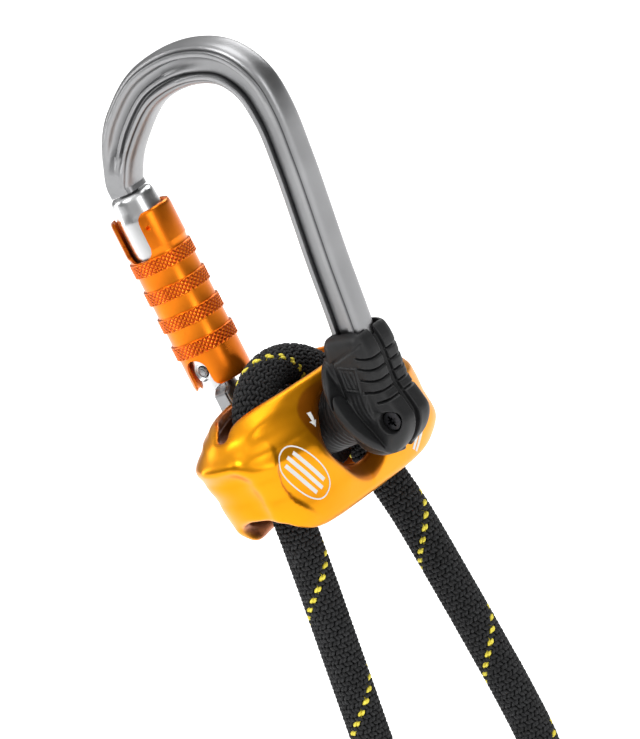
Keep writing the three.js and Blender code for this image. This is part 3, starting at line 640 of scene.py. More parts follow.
load_cover = end_cover("load_cover", "load_end_cover", LOAD_ROUTE[-1])
free_cover = end_cover("free_cover", "free_end_cover", FREE_ROUTE[-1])
half_turn = np.pi + np.pi * np.arange(9) / 8
eye_points = ([[0, -5.6, 0], [0, -5.6, -2.5], [0, -9.5, -9]]
              + [[0, 9.5 * math.cos(a), 9.5 * math.sin(a) - 14] for a in half_turn]
              + [[0, 9.5, -9], [0, 5.6, -2.5], [0, 5.6, 0]])
eye_line = Line(centripetal(foot_of(LOAD_ROUTE[-1]) + eye_points), (1, 0, 0))
load_loop = rope_piece("load_loop", "carabiner", "load_eye", eye_line, 0, eye_line.length, radius=5.3)
fold_points = ([[0, -4.7, 0]] + [[0, 4.7 * math.cos(a), 4.7 * math.sin(a) - 0.6] for a in half_turn]
               + [[0, 4.7, 0]])
fold_line = Line(centripetal(foot_of(FREE_ROUTE[-1]) + fold_points), (1, 0, 0))
free_fold = rope_piece("free_fold", "carabiner", "free_end_fold", fold_line, 0, fold_line.length, radius=4.6)


def taut_cord(top, end):
    path = [tuple(p) for p in whole_rope.at(np.linspace(top, end, 30)) * MM]


taut_cord(load_top - 0.1, 0)
taut_cord(free_top + 0.1, whole_rope.length)

# ---- carabiner frame

frame_line = Line(centripetal([
    NOSE, NOSE + 2.5 * GATE_AXIS, [-36.2, 0, -22.6], [-33.1, 0, -15.6], [-27.4, 0, -8.2],
    [-17, 0, 0.5], [-1, 0, 5.4], [10.8, 0, 4.1], [17.8, 0, -1.8], [21, 0, -11], [22, 0, -24],
    [22, 0, -52], [22, 0, -80], [19.5, 0, -90], [11.5, 0, -96.2], [-1, 0, -100.1],
    [-13, 0, -103.1], [-20.5, 0, -101.4], [-24.8, 0, -95], [-26.9, 0, -87.5], PIVOT]), (1, 0, 0))
depth_from_nose = blended([(0, 8.8), (22, 12.2), (70, 12.2), (95, 10.6)])
depth_from_pin = blended([(8, 6), (24, 9), (60, 10.6)])
thickness_from_pin = blended([(6.2, 4.6), (8, 8), (24, 9)])
groove_from_nose = blended([(6, 0), (16, 1)])
groove_from_pin = blended([(60, 0), (72, 1)])
# Each point is its place across the section, its height or how deep it is sunk, and how much painted
# shade darkens the crease there.
HALF_SECTION = [(1, 0, 0), (0.995, 0.28, 0), (0.965, 0.5, 0), (0.91, 0.68, 0), (0.83, 0.8, 0),
                (0.75, 0.86, 0.2), (0.7, 0.87, 0.9), (0.67, 0.97, 0.4), (0.64, 1, 0), (0.52, 1, 0)]
HOOK_WEB = [(0.46, 0.3, 0), (0.43, 0.7, 0.4), (0.39, 1, 0.6), (0.33, 1, 0.6), (0.29, 0.8, 0.4),
            (0.25, 0.5, 0), (0.18, 0.42, 0), (0.1, 0.5, 0), (0.06, 0.8, 0.5), (0.02, 1, 0.6),
            (-0.26, 1, 0), (-0.32, 0.86, 0), (-0.38, 0.45, 0), (-0.44, 0.14, 0)]
SPINE_WEB = [(0.46, 0.02, 0), (0.43, 0.06, 0), (0.41, 0.6, 0.8), (0.39, 0.96, 1), (0.34, 1, 0.5),
             (0.27, 1, 0), (0.18, 1, 0), (0.1, 1, 0), (0, 1, 0), (-0.16, 1, 0), (-0.26, 1, 0.6),
             (-0.37, 0.96, 1), (-0.39, 0.5, 0.8), (-0.42, 0.04, 0)]
WEB_DEPTH = 1.5
hook_web_from_nose = blended([(40, 1), (64, 0)])


def frame_section(recess, half_thickness, hook=0.0):
    """One half mirrored: a rounded rib each side of a sunk web. The web has a low rib along it round
    the hook, where hook is 1, and is flat between steep walls down the spine."""
    web = hook * np.array(HOOK_WEB) + (1 - hook) * np.array(SPINE_WEB)
    top = [(n, y * half_thickness, dark) for n, y, dark in HALF_SECTION]
    top += [(n, half_thickness - sunk * recess, dark) for n, sunk, dark in web]
    top += [(-n, y * half_thickness, dark) for n, y, dark in HALF_SECTION[::-1]]
    return np.array(top + [(n, -y, dark) for n, y, dark in top[-2:0:-1]])


def frame_bar(name, at, recess, hook, extra=0.0):
    """The frame's bar through the places at, not yet welded, with how much painted shade each point's crease
    gets.
    """
    left = frame_line.length - at
    depth = np.where(left < 60, depth_from_pin(left), depth_from_nose(at)) + extra
    thickness = thickness_from_pin(left) + extra
    centre, t = frame_line.at(at), frame_line.at(at, "t")
    out = np.cross([0, 1, 0], t)
    verts, painted_crease_shade = [], []
    for c, o, d, th, r, h in zip(centre, out, depth, thickness, recess, hook):
        section = frame_section(r, th / 2, h)
        verts.append(c + section[:, :1] * d / 2 * o + section[:, 1:2] * np.array([[0, 1, 0]]))
        painted_crease_shade.append(section[:, 2] * r / WEB_DEPTH)
    return make(name, np.vstack(verts), capped_faces(len(at), len(verts[0]))), np.concatenate(painted_crease_shade)


def carabiner():
    at = np.linspace(0, frame_line.length, 520)
    recess = WEB_DEPTH * np.minimum(groove_from_nose(at), groove_from_pin(frame_line.length - at))
    obj, painted_crease_shade = frame_bar("forged_frame", at, recess, hook_web_from_nose(at))
    # the crease layer is painted shade: the grey goes near black in the creases along the ribs' walls
    mark_points(obj, "crease", painted_crease_shade)
    tidy_mesh(obj)
    cut(obj, circle(PIVOT[0], PIVOT[2], 3.4), "y", -2.3, 2.3, operation="UNION")
    for width, low, high in ((1.9, 49.5, 50.7), (1.3, 50.2, 53)):
        cut(obj, rectangle(-3, 2, -width, width), "z", low, high, GATE_AXIS, PIVOT, "UNION")
    cut(obj, circle(PIVOT[0], PIVOT[2], PIN_HOLE), "y", -10, 10)
    sharpen(obj)
    finish(obj, "carabiner", "carabiner_frame", "forged", "forged")


carabiner()

# ---- gate, sleeve and hinge

FORK_GAP = 5.2


def gate():
    profile = [(0, -5.6), (6.8, -5.6), (6.8, 8), (5.4, 8.6), (5.4, 30), (6.8, 30.6), (6.8, 44.2),
               (6.74, 45), (6.55, 45.7), (6.3, 47.6), (6.15, 49.6), (6.0, 50.4), (5.7, 51), (5.2, 51.35),
               (4.6, 51.4), (0, 51.4)]
    obj = lathe("polished_gate", profile, 160, GATE_AXIS, PIVOT)
    fork = np.vstack([circle(0, 0, 5.6, 48, math.pi, math.pi),
                      [[5.6, 0], [9, 0], [9, 60], [-9, 60], [-9, 0]]])
    cut(obj, fork, "y", -9, 9, GATE_AXIS, PIVOT, "INTERSECT")
    cut(obj, rectangle(-9, 9, -9, 4.2), "y", -FORK_GAP / 2, FORK_GAP / 2, GATE_AXIS, PIVOT)
    cut(obj, circle(0, 0, 2.6), "z", 3, 28, GATE_AXIS, PIVOT)
    cut(obj, circle(PIVOT[0], PIVOT[2], PIN_HOLE), "y", -10, 10)
    for low, high in ((-8, -5.9), (5.9, 8)):
        cut(obj, circle(PIVOT[0], PIVOT[2], 2.5), "y", low, high)
    for width, low, high in ((1.7, 48.4, 54), (2.3, 48.3, 51.2)):
        cut(obj, rectangle(-9, 2.4, -width, width), "z", low, high, GATE_AXIS, PIVOT)
    sharpen(obj, 30)
    finish(obj, "gate", "gate_barrel", "gate", "gate")


BAND_TOPS = [33.9 - 8.25 * k for k in range(4)]
BAND_WIDTH = 4.1
DIAMONDS = 36
DIAMOND_HEIGHT = 1.37
KNURL_DEPTH = 0.34


def knurl_depth(angle, height):
    """0 on a diamond's crown to 1 in the grooves between, in the knurled bands."""
    in_band = np.zeros(np.broadcast(angle, height).shape)
    for top in BAND_TOPS:
        bottom = top - BAND_WIDTH
        inner = ease(height, bottom + 0.12, bottom + 0.4) * (1 - ease(height, top - 0.4, top - 0.12))
        in_band = np.maximum(in_band, inner)
    u = DIAMONDS * angle / (2 * math.pi) + height / DIAMOND_HEIGHT
    v = DIAMONDS * angle / (2 * math.pi) - height / DIAMOND_HEIGHT
    groove = np.maximum(np.abs(2 * (u % 1) - 1), np.abs(2 * (v % 1) - 1))
    return in_band * groove ** 1.6


def sleeve():
    profile = [(7.6, -4.5), (8.0, -4.5), (8.2, -4.3), (8.3, -3.9), (8.4, -3)]
    for top in BAND_TOPS[::-1]:
        bottom = top - BAND_WIDTH
        profile += [(8.4, bottom - 0.3), (8.42, bottom), (8.9, bottom + 0.04), (9.0, bottom + 0.12)]
        profile += [(9.05, z) for z in np.linspace(bottom + 0.2, top - 0.2, 40)]
        profile += [(9.0, top - 0.12), (8.9, top - 0.04), (8.42, top), (8.4, top + 0.3)]
    profile += [(8.45, 35.2), (8.68, 35.7), (8.72, 36.2), (8.7, 40), (8.7, 44.9), (8.6, 45.6), (8.35, 46.1),
                (8.1, 46.2), (7.75, 46.2), (7.6, 46.0), (7.6, 8), (7.15, 8), (7.15, 6.8), (7.6, 6.2)]
    profile = np.array(profile)
    segments = DIAMONDS * 12
    angle = np.linspace(0, 2 * math.pi, segments, endpoint=False)[None, :]
    height = profile[:, 1:]
    outer = (profile[:, :1] > 8.95).astype(float)
    depth = knurl_depth(angle, height) * outer
    radius = profile[:, :1] - KNURL_DEPTH * depth
    points = np.stack([radius * np.cos(angle), radius * np.sin(angle),
                       np.broadcast_to(height, radius.shape)], -1).reshape(-1, 3)
    obj = make("locking_sleeve_piece", place(points, GATE_AXIS, PIVOT),
               grid_faces(len(profile), segments, closed_rows=True))
    # the groove layer is painted shade, darkest at the bottom of each knurl groove
    mark_points(obj, "groove", depth.ravel())
    tidy_mesh(obj)
    slot = np.vstack([[[-4.6, 60]], circle(-1.6, 37, 3, 16, math.pi, math.pi / 2),
                      circle(1.6, 37, 3, 16, -math.pi / 2, math.pi / 2),
                      [[4.6, 37], [4.6, 42.6], [4.7, 44], [5, 45.2], [5.8, 46.3], [5.8, 60]]])
    cut(obj, slot, "y", -12, -2, GATE_AXIS, PIVOT)
    cut(obj, circle(6.1, 41.9, 0.6, 24), "y", -12, -5.8, GATE_AXIS, PIVOT)
    cut(obj, rectangle(-12, -3, -2.5, 2.5), "z", 45.3, 60, GATE_AXIS, PIVOT)
    foot = [[3.4, 0.8], [3.45, -1.6], [3.6, -2.9], [4, -3.8], [4.7, -4.4], [5.4, -4.6], [5.4, -20]]
    arch = np.vstack([[[-a, b] for a, b in foot[:0:-1]], circle(0, 0.8, 3.4, 40, math.pi, -math.pi), foot])
    cut(obj, arch, "y", -12, 12, GATE_AXIS, PIVOT)
    sharpen(obj, 50)
    finish(obj, "sleeve", "locking_sleeve", "sleeve", "sleeve")


def pin():
    head = [(0, 6.55), (0.75, 6.6), (0.95, 6.5), (1.02, 6.3), (1.12, 6.3), (1.2, 6.52), (1.38, 6.5),
            (1.5, 6.3)]
    profile = [(r, -h) for r, h in head] + head[::-1]
    obj = lathe("hinge_rivet", profile, 64, (0, 0, 1), (0, 0, 0))
    lay_across(obj, PIVOT)
    sharpen(obj, 40)
    finish(obj, "carabiner", "hinge_pin", "steel", "forged")


def spring(name, node, radius, wire, low, high, turns, body):
    t = np.linspace(0, 1, int(turns * 40) + 1)
    angle = 2 * math.pi * turns * t
    points = np.stack([radius * np.cos(angle), radius * np.sin(angle),
                       low + wire + (high - low - 2 * wire) * t], -1)
    line = Line(place(points, GATE_AXIS, PIVOT), np.cross(GATE_AXIS, [0, 1, 0]))
    ring = round_rings(line.points, line.u, line.v, wire, 12)
    obj = make(name, ring.reshape(-1, 3), capped_faces(len(t), 12))
    tidy_mesh(obj)
    finish(obj, body, node, "steel", "spring")


gate()
sleeve()
pin()
finish(lathe("plunger", [(0, 3.8), (0.8, 3.82), (1.3, 4), (1.9, 4.6), (2.2, 5.1), (2.2, 9.4), (1.1, 9.4),
                         (1.1, 14), (0, 14)], 48, GATE_AXIS, PIVOT), "gate", "gate_plunger", "steel", "steel")
finish(lathe("guide_ring", [(5.7, 9), (5.8, 8.9), (7.25, 8.9), (7.35, 9), (7.35, 10.3), (7.25, 10.4),
                            (5.8, 10.4), (5.7, 10.3), (5.7, 9)], 96, GATE_AXIS, PIVOT), "guide_ring",
       "sleeve_guide_ring", "steel", "steel")
spring("gate_coil", "gate_spring", 1.85, 0.35, 9.7, 27.7, 9, "gate")
spring("sleeve_coil", "sleeve_spring", 6.5, 0.45, 10.7, 29.7, 6, "gate")

# ---- spool

drum_profile = [(0, -8.2), (14.6, -8.2), (15.1, -8.05), (15.4, -7.7), (15.4, -7.0), (15.0, -6.5),
                (13.6, -6.2), (12.8, -5.9), (12.4, -5.4)]
for s in np.arange(-4.6, 6.0, 1.1):
    drum_profile += [(12.4, s), (12.1, s + 0.3), (12.1, s + 0.5), (12.4, s + 0.8)]
drum_profile += [(12.4, 6.3), (12.1, 6.6), (0, 6.6)]
SPOOL_PLAY = 0.7

for side, node in ((-1, "drum_half_left"), (1, "drum_half_right")):
    piece = lathe("spool_half_" + ("left" if side < 0 else "right"), drum_profile, 192, SPOOL_AXIS, SPOOL)
    at = np.linspace(frame_line.length * 0.5, frame_line.length * 0.91, 160)
    bore, _ = frame_bar("cutter", at, np.zeros(len(at)), np.zeros(len(at)), SPOOL_PLAY)
    tidy_mesh(bore)
    boolean(piece, bore)
    span = (-60, -GAP / 2) if side < 0 else (GAP / 2, 60)
    cut(piece, rectangle(-60, 60, -160, -40), "y", *span, operation="INTERSECT")
    sharpen(piece, 40)
    finish(piece, "carabiner", node, "drum", "drum")

# ---- plastic housing

SHELL_OUTLINE = flat_line([
    (16.4, -74.4), (22, -73.2), (28, -73.6), (30, -77.5), (30.5, -84), (30.9, -90.5), (33, -95.6),
    (34.2, -99.6), (32.6, -103.6), (28.2, -107.6), (22.5, -108.6), (16.8, -106), (14.4, -99), (14.2, -90),
    (14.8, -80)], 6, closed=True)
SHELL_INSET = np.array([23.5, -92]) + (SHELL_OUTLINE - [23.5, -92]) * [0.82, 0.92]
SKIRT_CENTRE = np.array([20.5, 0, -94])
SKIRT_TILT = math.radians(25.5)
SKIRT_AXIS = np.array([math.cos(SKIRT_TILT), 0, math.sin(SKIRT_TILT)])
SCREW = np.array([30.2, 0, -98.7])
GRIPS = [(-81, 0.33, 26.3), (-84.1, 0.33, 25.8), (-87.2, 0.28, 25.5), (-90.1, 0.12, 25.6),
         (-92.8, 0.02, 28.4)]
PANEL = [(19.55, -81.45), (25.6, -82.3), (24.7, -89.45), (19.83, -88.55)]
SHELL_HALF_WIDTH = 7.8
SHELL_STEP = 0.22
FAR = 9.0


def along_axis(x, y, z, origin, axis):
    """Height along an axis that lies in the frame's plane, and the offset across it in that plane."""
    h = (x - origin[0]) * axis[0] + (z - origin[2]) * axis[2]
    side = -(x - origin[0]) * axis[2] + (z - origin[2]) * axis[0]
    return h, side


def shell_field(xs, ys, zs):
    """Signed distance to the housing's two halves taken together."""
    x, y, z = np.meshgrid(xs, ys, zs, indexing="ij", sparse=True)
    flat_x, flat_z = np.meshgrid(xs, zs, indexing="ij")

    def in_plane(outline):
        return outline_distance(outline, flat_x, flat_z)[:, None, :]

    outline = in_plane(SHELL_OUTLINE)
    body = smooth_max(outline, np.abs(y) - SHELL_HALF_WIDTH, 4.2)
    h, side = along_axis(x, y, z, SKIRT_CENTRE, SKIRT_AXIS)
    rho = np.sqrt((y / 0.9) ** 2 + side ** 2)
    dish = 0.5 * ease(rho, 9, 15.5) - 0.5
    upper = h - (1.5 + dish - 0.9 * np.exp(-(np.clip(body, 0, None) / 1.1) ** 2))
    skirt = smooth_max(smooth_max(upper, -h - 1.5 + 0.4 * ease(rho, 12, 16), 0.8), (rho - 16.4) * 0.95, 1.4)
    field = smooth_min(body, skirt, 0.5 + 1.6 * ease(z, -95, -86))
    hub_h, hub_side = along_axis(x, y, z, SPOOL, SPOOL_AXIS)
    hub_rho = np.sqrt(y ** 2 + hub_side ** 2)
    ridge = 0.22 * np.abs((hub_h / 1.5) % 1 - 0.5) * 2
    hub = smooth_max(smooth_max(hub_rho - 9 + ridge, 6.9 - hub_h, 0.6), x - 26, 0.5)
    field = smooth_min(field, hub, 0.6)
    # channel round the seam, and the split between the halves
    channel = np.maximum(np.abs(y) - 1.15, -in_plane(SHELL_INSET))
    field = carve(field, np.maximum(channel, outline - 3), 0.35)
    # grip grooves wrap from each face to the seam
    for at, slope, start in GRIPS:
        line = np.abs(z - at + slope * (x - 30.5)) * 0.97
        vee = np.maximum(line - 0.36 + 0.35 * np.clip(-body, 0, None), start - x)
        field = carve(field, np.maximum(vee, -body - 0.9), 0.18)
    # the raised frame on the front face, with plain slanted bars inside it
    panel = in_plane(PANEL) * np.ones_like(y)
    face = np.abs(y + SHELL_HALF_WIDTH)
    rim = np.maximum(np.abs(panel + 0.3) - 0.22, face - 0.32)
    field = smooth_min(field, np.where(y < 0, rim, FAR), 0.25)
    bar_at = (x - 20.2) + 0.16 * (z + 85.5)
    bars = np.maximum(np.abs((bar_at / 1.5) % 1 - 0.5) * 1.5 - 0.34, np.maximum(panel + 1.15, face - 0.3))
    field = smooth_min(field, np.where(y < 0, bars, FAR), 0.2)
    for corner in ((28.4, -76.4), (18.9, -91)):
        crease, _ = to_segment(x, z, (18.2, -80.6), corner)
        crease = np.maximum(crease - 0.35, -body - 0.3)
        field = carve(field, np.where(y < 0, crease, FAR), 0.4)
    # screw recess with its lead-in, and the channel for the bar
    to_screw = np.sqrt((x - SCREW[0]) ** 2 + (z - SCREW[2]) ** 2)
    recess = np.maximum(to_screw - 3.1, y + 3.9)
    hole = np.maximum(to_screw - 1.8, y - 6.2)
    pocket = np.maximum(to_screw - 2.9, np.maximum(1.5 - y, y - 5.8))
    lead, t = to_segment(x, z, (27, -95.6), SCREW[[0, 2]])
    lead = np.maximum(lead - (0.5 + 2.2 * t), y + 7.7 - 1.5 * t)
    for tool, soft in ((recess, 0.35), (hole, 0.1), (pocket, 0.1), (lead, 0.6)):
        field = carve(field, tool, soft)
    path = frame_line.points[frame_line.s > frame_line.length * 0.45][::6][:, [0, 2]]
    bar = np.full(flat_x.shape, np.inf)
    for a, b in zip(path[:-1], path[1:]):
        bar = np.minimum(bar, to_segment(flat_x, flat_z, a, b)[0])
    return carve(field, np.maximum(bar[:, None, :] - 5.6, np.abs(y) - 4.8), 0.3)


for side, node in ((-1, "shell_left"), (1, "shell_right")):
    low_y, high_y = (-16, 0.6) if side < 0 else (-0.6, 16)
    xs, ys, zs = axes((-3, low_y, -111), (36, high_y, -71), SHELL_STEP)
    field = shell_field(xs, ys, zs)
    half = (ys if side < 0 else -ys)[None, :, None] + GAP / 2
    piece = surface("housing_" + ("left" if side < 0 else "right"), np.maximum(field, half), xs, ys, zs)
    finish(piece, "carabiner", node, "shell", "shell")


def screw():
    profile = [(0, -4.6), (1.3, -4.6), (1.5, -4.4), (1.5, 4.3), (2.6, 5.7), (2.75, 5.8), (2.75, 6.0),
               (2.6, 6.15), (2.2, 6.2), (0, 6.2)]
    obj = lathe("housing_screw", profile, 96, (0, 0, 1), (0, 0, 0))
    for k, (reach, wide) in enumerate([(1.65, 0.36), (1.2, 0.2)] * 2):
        turn = 0.5 + k * math.pi / 4
        c, s = math.cos(turn), math.sin(turn)
        slot = [(c * a - s * b, s * a + c * b) for a, b in rectangle(-reach, reach, -wide, wide)]
        cut(obj, slot, "z", 5.0, 8)
    lay_across(obj, SCREW)
    sharpen(obj, 35)
    finish(obj, "carabiner", "shell_screw", "screw", "screw")


screw()
bush_profile = [(1.8, 1.8), (2.5, 1.8), (2.6, 1.9)]
for z in np.arange(2.2, 5.0, 0.6):
    bush_profile += [(2.6, z), (2.5, z + 0.15), (2.5, z + 0.3), (2.6, z + 0.45)]
bush_profile += [(2.6, 5.4), (2.5, 5.5), (1.8, 5.5), (1.8, 1.8)]
bush = lathe("screw_bush", bush_profile, 72, (0, 0, 1), (0, 0, 0))
lay_across(bush, SCREW, -1)
finish(bush, "carabiner", "shell_insert", "insert", "insert")

# ---- adjuster body

body_front = blended([(-124, 10.6), (-112, 12.6), (-101, 13.2), (-91, 12), (-82, 9.2), (-74, 7.4)])
body_back = blended([(-124, -18.8), (-112, -22.2), (-101, -23), (-89, -22), (-74, -20.4)])
reach_left = blended([(-124, 29), (-116, 33.4), (-108, 35), (-101.5, 36.8), (-96, 39.2), (-90, 36.2),
                      (-84, 32), (-74, 31)])
reach_right = blended([(-124, 34.5), (-114, 40.4), (-105, 38.6), (-96, 37.4), (-90, 36), (-84, 34),
                       (-74, 32)])
front_power = blended([(-124, 0.62), (-114, 0.52), (-99, 0.6), (-95, 0.76), (-89, 1.1), (-83, 1.2)])
back_power = blended([(-124, 0.85), (-108, 0.8), (-98, 0.72), (-91.5, 1), (-88.5, 1.3), (-83, 1.45)])
WALL = 4.2
RING_STEP = 0.4
CROWN = [(-60, -112), (-40, -95.6), (-34, -89.4), (-26, -84.2), (-13, -82.4), (6, -82.4), (18, -84),
         (26.5, -87.4), (32, -91.6), (38.4, -98.6), (60, -128)]
WINDOW_INSIDE = [(0, -87.6), (6.5, -89.6), (10.2, -95), (11.6, -101), (9.8, -106), (5.4, -109.9),
                 (0, -111.3)]
WINDOW_OUTSIDE = [(0, -85.4), (12, -85.6), (17.2, -89), (17.8, -94.4), (14.6, -102.8),
                  (10.6, -108.8), (5.8, -115), (0, -117.4)]
WINDOW_REAR = [(0, -92.6), (9.3, -93.4), (15, -99.6), (12.9, -107.6), (9, -111.2),
               (4.5, -115.5), (0, -116.4)]
FOOT_LEFT, FOOT_RIGHT = -11.5, 7.5


def both_sides(half):
    """A window's whole outline from its right half."""
    return flat_line(list(half) + [(-y, z) for y, z in half[-2:0:-1]], 5, closed=True)


def rim_height(x):
    return -82.5 + (x - 8.5) * 0.2


def body_field(xs, ys, zs):
    """Signed distance to the ring, and to its outer skin alone, with the relief taken off it."""
    step = xs[1] - xs[0]
    x, y, z = np.meshgrid(xs, ys, zs, indexing="ij", sparse=True)
    flat_y, flat_z = np.meshgrid(ys, zs, indexing="ij")
    plane_x, plane_z = np.meshgrid(xs, zs, indexing="ij")
    front, back = body_front(z), body_back(z)
    u = (x - (front + back) / 2) / ((front - back) / 2)
    reach = np.where(y > 0, reach_right(z), reach_left(z))
    power = np.where(u > 0, front_power(z), back_power(z))
    norm = (np.abs(u) ** (2 / power) + (np.abs(y) / reach) ** (2 / power)) ** (power / 2)
    slope = np.sqrt(sum(g ** 2 for g in np.gradient(norm, step)))
    outer = (norm - 1) / np.clip(slope, 0.01, None)
    inner = outer + WALL - 1.0 * ease(z, -98, -90)
    # forged relief: a sunk panel on the front, a pocket under the left ridge and the ridges round them
    outer = outer + relief(x, y, z)

    def across(outline):
        return outline_distance(outline, flat_y, flat_z)[None]

    def in_plane(outline):
        return outline_distance(outline, plane_x, plane_z)[:, None, :]

    slab = in_plane([(-40, rim_height(-40)), (-40, -125), (-20, -123.9), (-8, -121.8), (30, -120),
                     (30, rim_height(30))])
    crown = across(np.vstack([flat_line(CROWN, 8), [[60, -140], [-60, -140]]]))
    field = smooth_max(smooth_max(outer, slab, 2.4), crown, 2.6)
    field = carve(field, inner, 2.6)
    inside, outside = across(both_sides(WINDOW_INSIDE)), across(both_sides(WINDOW_OUTSIDE))
    opened = np.interp(xs, [0, 9.2, 10, 13, 17], [0, 0, 0.06, 1, 1.5])[:, None, None]
    window = np.maximum((inside * (1 - opened) + outside * opened) * 0.8, -x - 2)
    field = carve(field, window, 1.1)
    rear = across(both_sides(WINDOW_REAR)) - 2.2 * ease(-x, 19, 27)
    field = carve(field, np.maximum(rear, x + 10), 1.8)
    arch = flat_line([(FOOT_LEFT, -124), (FOOT_LEFT, -119.5), (-9.6, -115.6), (-5.6, -113.7), (-2, -113.5),
                      (1.6, -113.7), (5.6, -115.6), (FOOT_RIGHT, -119.5), (FOOT_RIGHT, -124)], 8)
    foot = in_plane(np.vstack([arch, [[FOOT_RIGHT, -140], [FOOT_LEFT, -140]]]))
    field = carve(field, np.maximum(foot, 16 - np.abs(y)), 2.0)
    dip = np.sqrt(y ** 2 + (z + 70.5) ** 2) - 19.3
    return carve(field, np.maximum(dip, x + 13), 1.6), outer


def near(x, y, z, points, width):
    """1 on a 3-D polyline, falling smoothly to 0 away from it."""
    best = np.full(np.broadcast(x, y, z).shape, np.inf, np.float32)
    for a, b in zip(points[:-1], points[1:]):
        e = np.subtract(b, a)
        t = np.clip(((x - a[0]) * e[0] + (y - a[1]) * e[1] + (z - a[2]) * e[2]) / (e @ e), 0, 1)
        best = np.minimum(best, (x - a[0] - t * e[0]) ** 2 + (y - a[1] - t * e[1]) ** 2
                          + (z - a[2] - t * e[2]) ** 2)
    return np.exp(-best / width ** 2)


def relief(x, y, z):
    """Height taken off the outer skin, in mm."""
    front = ease(x, 2, 7)
    edge = [(-29, -86), (-29.6, -95.4), (-31.2, -99), (-31.2, -103.8), (-29.4, -109.4), (-23.6, -117),
            (-15, -126)]
    inside = -outline_distance(edge + [(5, -126), (5, -88)], *np.broadcast_arrays(y[0], z[0]))[None]
    panel = (1.3 * ease(inside, -0.6, 1.0) * (1 - ease(inside, 3, 15)) * front * (y < 0)
             * ease(z, -120, -107) * (1 - ease(z, -103, -90)))
    upper = near(x, y, z, [(0.4, -37.2, -93.8), (4.9, -27.4, -87.8), (8.6, -19, -84.3)], 2.6)
    lower = near(x, y, z, [(1.2, -37.2, -94), (4.7, -35.3, -101.8), (4.2, -34.5, -107),
                           (5, -32.9, -113)], 2.2)
    level_edge = near(x, y, z, [(-10, -39, -95.6), (-4, -38.6, -95), (1.2, -37.2, -94)], 2.0)
    pocket = near(x, y, z, [(-1, -37.5, -100.5), (0, -36, -105), (0.4, -34.6, -109.5)], 3.6)
    return panel + 1.5 * pocket - 0.5 * np.maximum(np.maximum(upper, level_edge), 1.3 * lower)


xs, ys, zs = axes((-25, -42, -126), (16, 42, -80), RING_STEP)
ring_field, skin = body_field(xs, ys, zs)
ring = surface("adjuster_ring", ring_field, xs, ys, zs)
at = np.array([v.co for v in ring.data.vertices]) / MM
cell = np.clip(np.rint((at - [xs[0], ys[0], zs[0]]) / (xs[1] - xs[0])).astype(int), 0,
               np.array(skin.shape) - 1)
funnel = outline_distance(both_sides(WINDOW_OUTSIDE), at[:, 1], at[:, 2])
# painted shade and painted reflection: the inner surfaces and the window's lip go dark brown, for the shade
# inside the ring and the black housing reflected in the lip
mark_points(ring, "inside", np.maximum(ease(-skin[tuple(cell.T)], 0.9, 2.6),
                                       0.8 * ease(-funnel, -0.1, 0.9) * (at[:, 0] > 4)))
finish(ring, "adjuster", "adjuster_body", "body", "body")

# ---- printed marks

ring_tree = BVHTree.FromPolygons([tuple(v.co) for v in ring.data.vertices],
                                 [tuple(p.vertices) for p in ring.data.polygons])


def printed(name, strips, centre, normal, up, lift=0.05):
    """Thin printed shapes laid on the ring. Each strip is two equal rows of 2-D points."""
    normal = Vector(normal).normalized()
    right = Vector(up).cross(normal).normalized()
    up = normal.cross(right)
    verts, faces = [], []
    for a, b in strips:
        rows = np.stack([a + (b - a) * t for t in np.linspace(0, 1, 4)])
        base = len(verts)
        for p in rows.reshape(-1, 2):
            start = (Vector(centre) + right * p[0] + up * p[1] + normal * 8) * MM
            hit, face_normal, _, _ = ring_tree.ray_cast(start, -normal)
            verts.append(np.array(hit + face_normal * lift * MM) / MM)
        faces += grid_faces(4, rows.shape[1], closed_columns=False, start=base).tolist()
    obj = make(name, verts, faces)
    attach(obj, "adjuster")
    obj.data.materials.append(look["print"])


def bar(x0, x1, y0, y1, count=12):
    x = np.linspace(x0, x1, count)
    return np.stack([x, np.full(count, y0)], -1), np.stack([x, np.full(count, y1)], -1)


def oval(long, short, width, count=97):
    angle = np.linspace(0, 2 * math.pi, count)
    c, s = (np.sign(f(angle)) * np.abs(f(angle)) ** 0.8 for f in (np.cos, np.sin))
    return np.stack([long * c, short * s], -1), np.stack([(long - width) * c, (short - width) * s], -1)


def wedge(base, tip, y0, y1, count=12):
    """An arrow's head, as a strip between a wide row and a narrow one."""
    return tuple(np.stack([np.linspace(-half, half, count), np.full(count, y)], -1)
                 for half, y in ((base, y0), (tip, y1)))


printed("oval_mark", [oval(9.5, 5.0, 0.4), bar(-6.4, 6.4, 1.5, 2.6), bar(-7.2, 7.2, -0.55, 0.55),
                      bar(-6.4, 6.4, -2.6, -1.5)],
        (11.4, -23.8, -104.1), (0.93, -0.35, 0.1), (0.25, 0.81, 0.52))
printed("arrow_mark", [bar(-0.5, 0.5, -1.9, 0.5), wedge(1.3, 0.1, 0.5, 2.2)],
        (10.8, -14.4, -92.8), (0.9, 0.42, -0.1), (0.1, -0.1, -1))
printed("plain_label", [bar(-4, 4, 0.3, 1.5), bar(-4, 4, -1.5, -0.3)],
        (11.2, 22.6, -114.8), (0.97, 0.2, -0.1), (0.22, -0.73, 0.64))
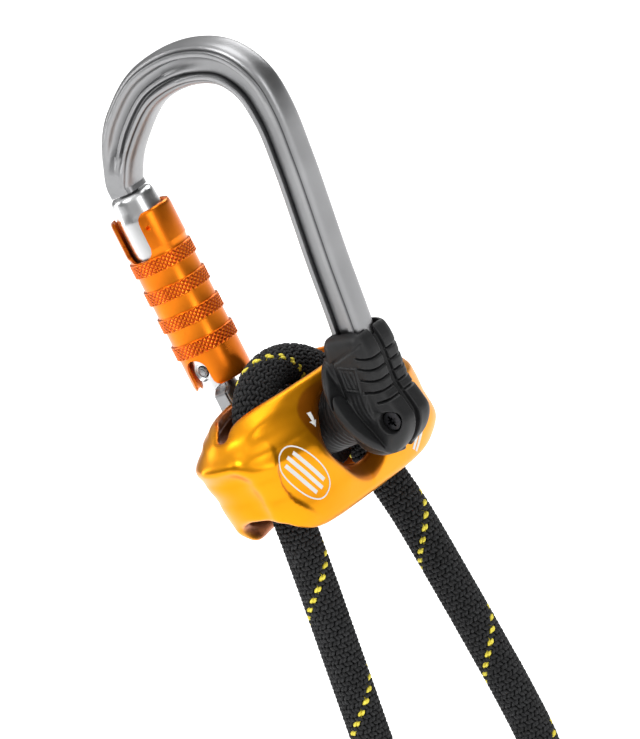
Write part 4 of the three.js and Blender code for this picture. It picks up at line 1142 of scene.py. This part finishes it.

# ---- floor and light

FLOOR_Z, FLOOR_REACH = -340, 9000
floor_corners = rectangle(-FLOOR_REACH, FLOOR_REACH, -FLOOR_REACH, FLOOR_REACH)
floor = make("floor", [(x, y, FLOOR_Z) for x, y in floor_corners], [[0, 1, 2, 3]])
pale = Shader(bpy.data.materials.new("pale_floor"))
pale.principled({"Base Color": (0.92, 0.92, 0.92, 1), "Roughness": 0.9,
                 "Emission Color": (1, 1, 1, 1), "Emission Strength": 0.4})
floor.data.materials.append(pale.owner)

world = bpy.data.worlds.new("studio")
bpy.context.scene.world = world
studio = Shader(world)
direction = studio.add("TexCoord", {}, "Generated")
height = studio.add("SeparateXYZ", {"Vector": direction}, "Z")
sky = studio.ramp(studio.remap(height, 0, 1, -1, 1),
                  [(0.0, 0.6), (0.5, 0.3), (0.58, 0.28), (0.7, 0.7), (1.0, 1.0)])
# dark flags on both sides of the camera's view, so that round metal shows its edges
across = studio.add("VectorMath", {0: direction, 1: level}, "Value", operation="DOT_PRODUCT")
sideways = studio.add("Math", {0: across}, "Value", operation="ABSOLUTE")
flags = studio.ramp(sideways, [(0.0, 0.0), (0.55, 0.0), (0.8, 1.0), (1.0, 1.0)])
studio.put(studio.nodes["Background"], {"Color": studio.mix(flags, sky, (0.06, 0.06, 0.06)),
                                        "Strength": 0.85})


def softbox(name, at, size, power):
    lamp = bpy.data.lights.new(name, "AREA")
    lamp.shape, lamp.size, lamp.size_y, lamp.energy = "RECTANGLE", size[0], size[1], power
    obj = bpy.data.objects.new(name, lamp)
    obj.location = Vector(at)
    obj.rotation_euler = (Vector((0, 0, -0.1)) - Vector(at)).to_track_quat("-Z", "Y").to_euler()
    bpy.context.scene.collection.objects.link(obj)


softbox("key", (-0.2, -1.3, 1.2), (0.9, 0.7), 17)
softbox("fill", (1.5, -0.5, 0.4), (0.5, 1.0), 6)
softbox("left", (-1.3, -0.5, 0.3), (0.4, 1.1), 7)
softbox("top", (0.2, 0.4, 1.6), (1.2, 1.2), 15)
softbox("back", (-0.2, 1.4, 0.7), (1.0, 0.6), 7)
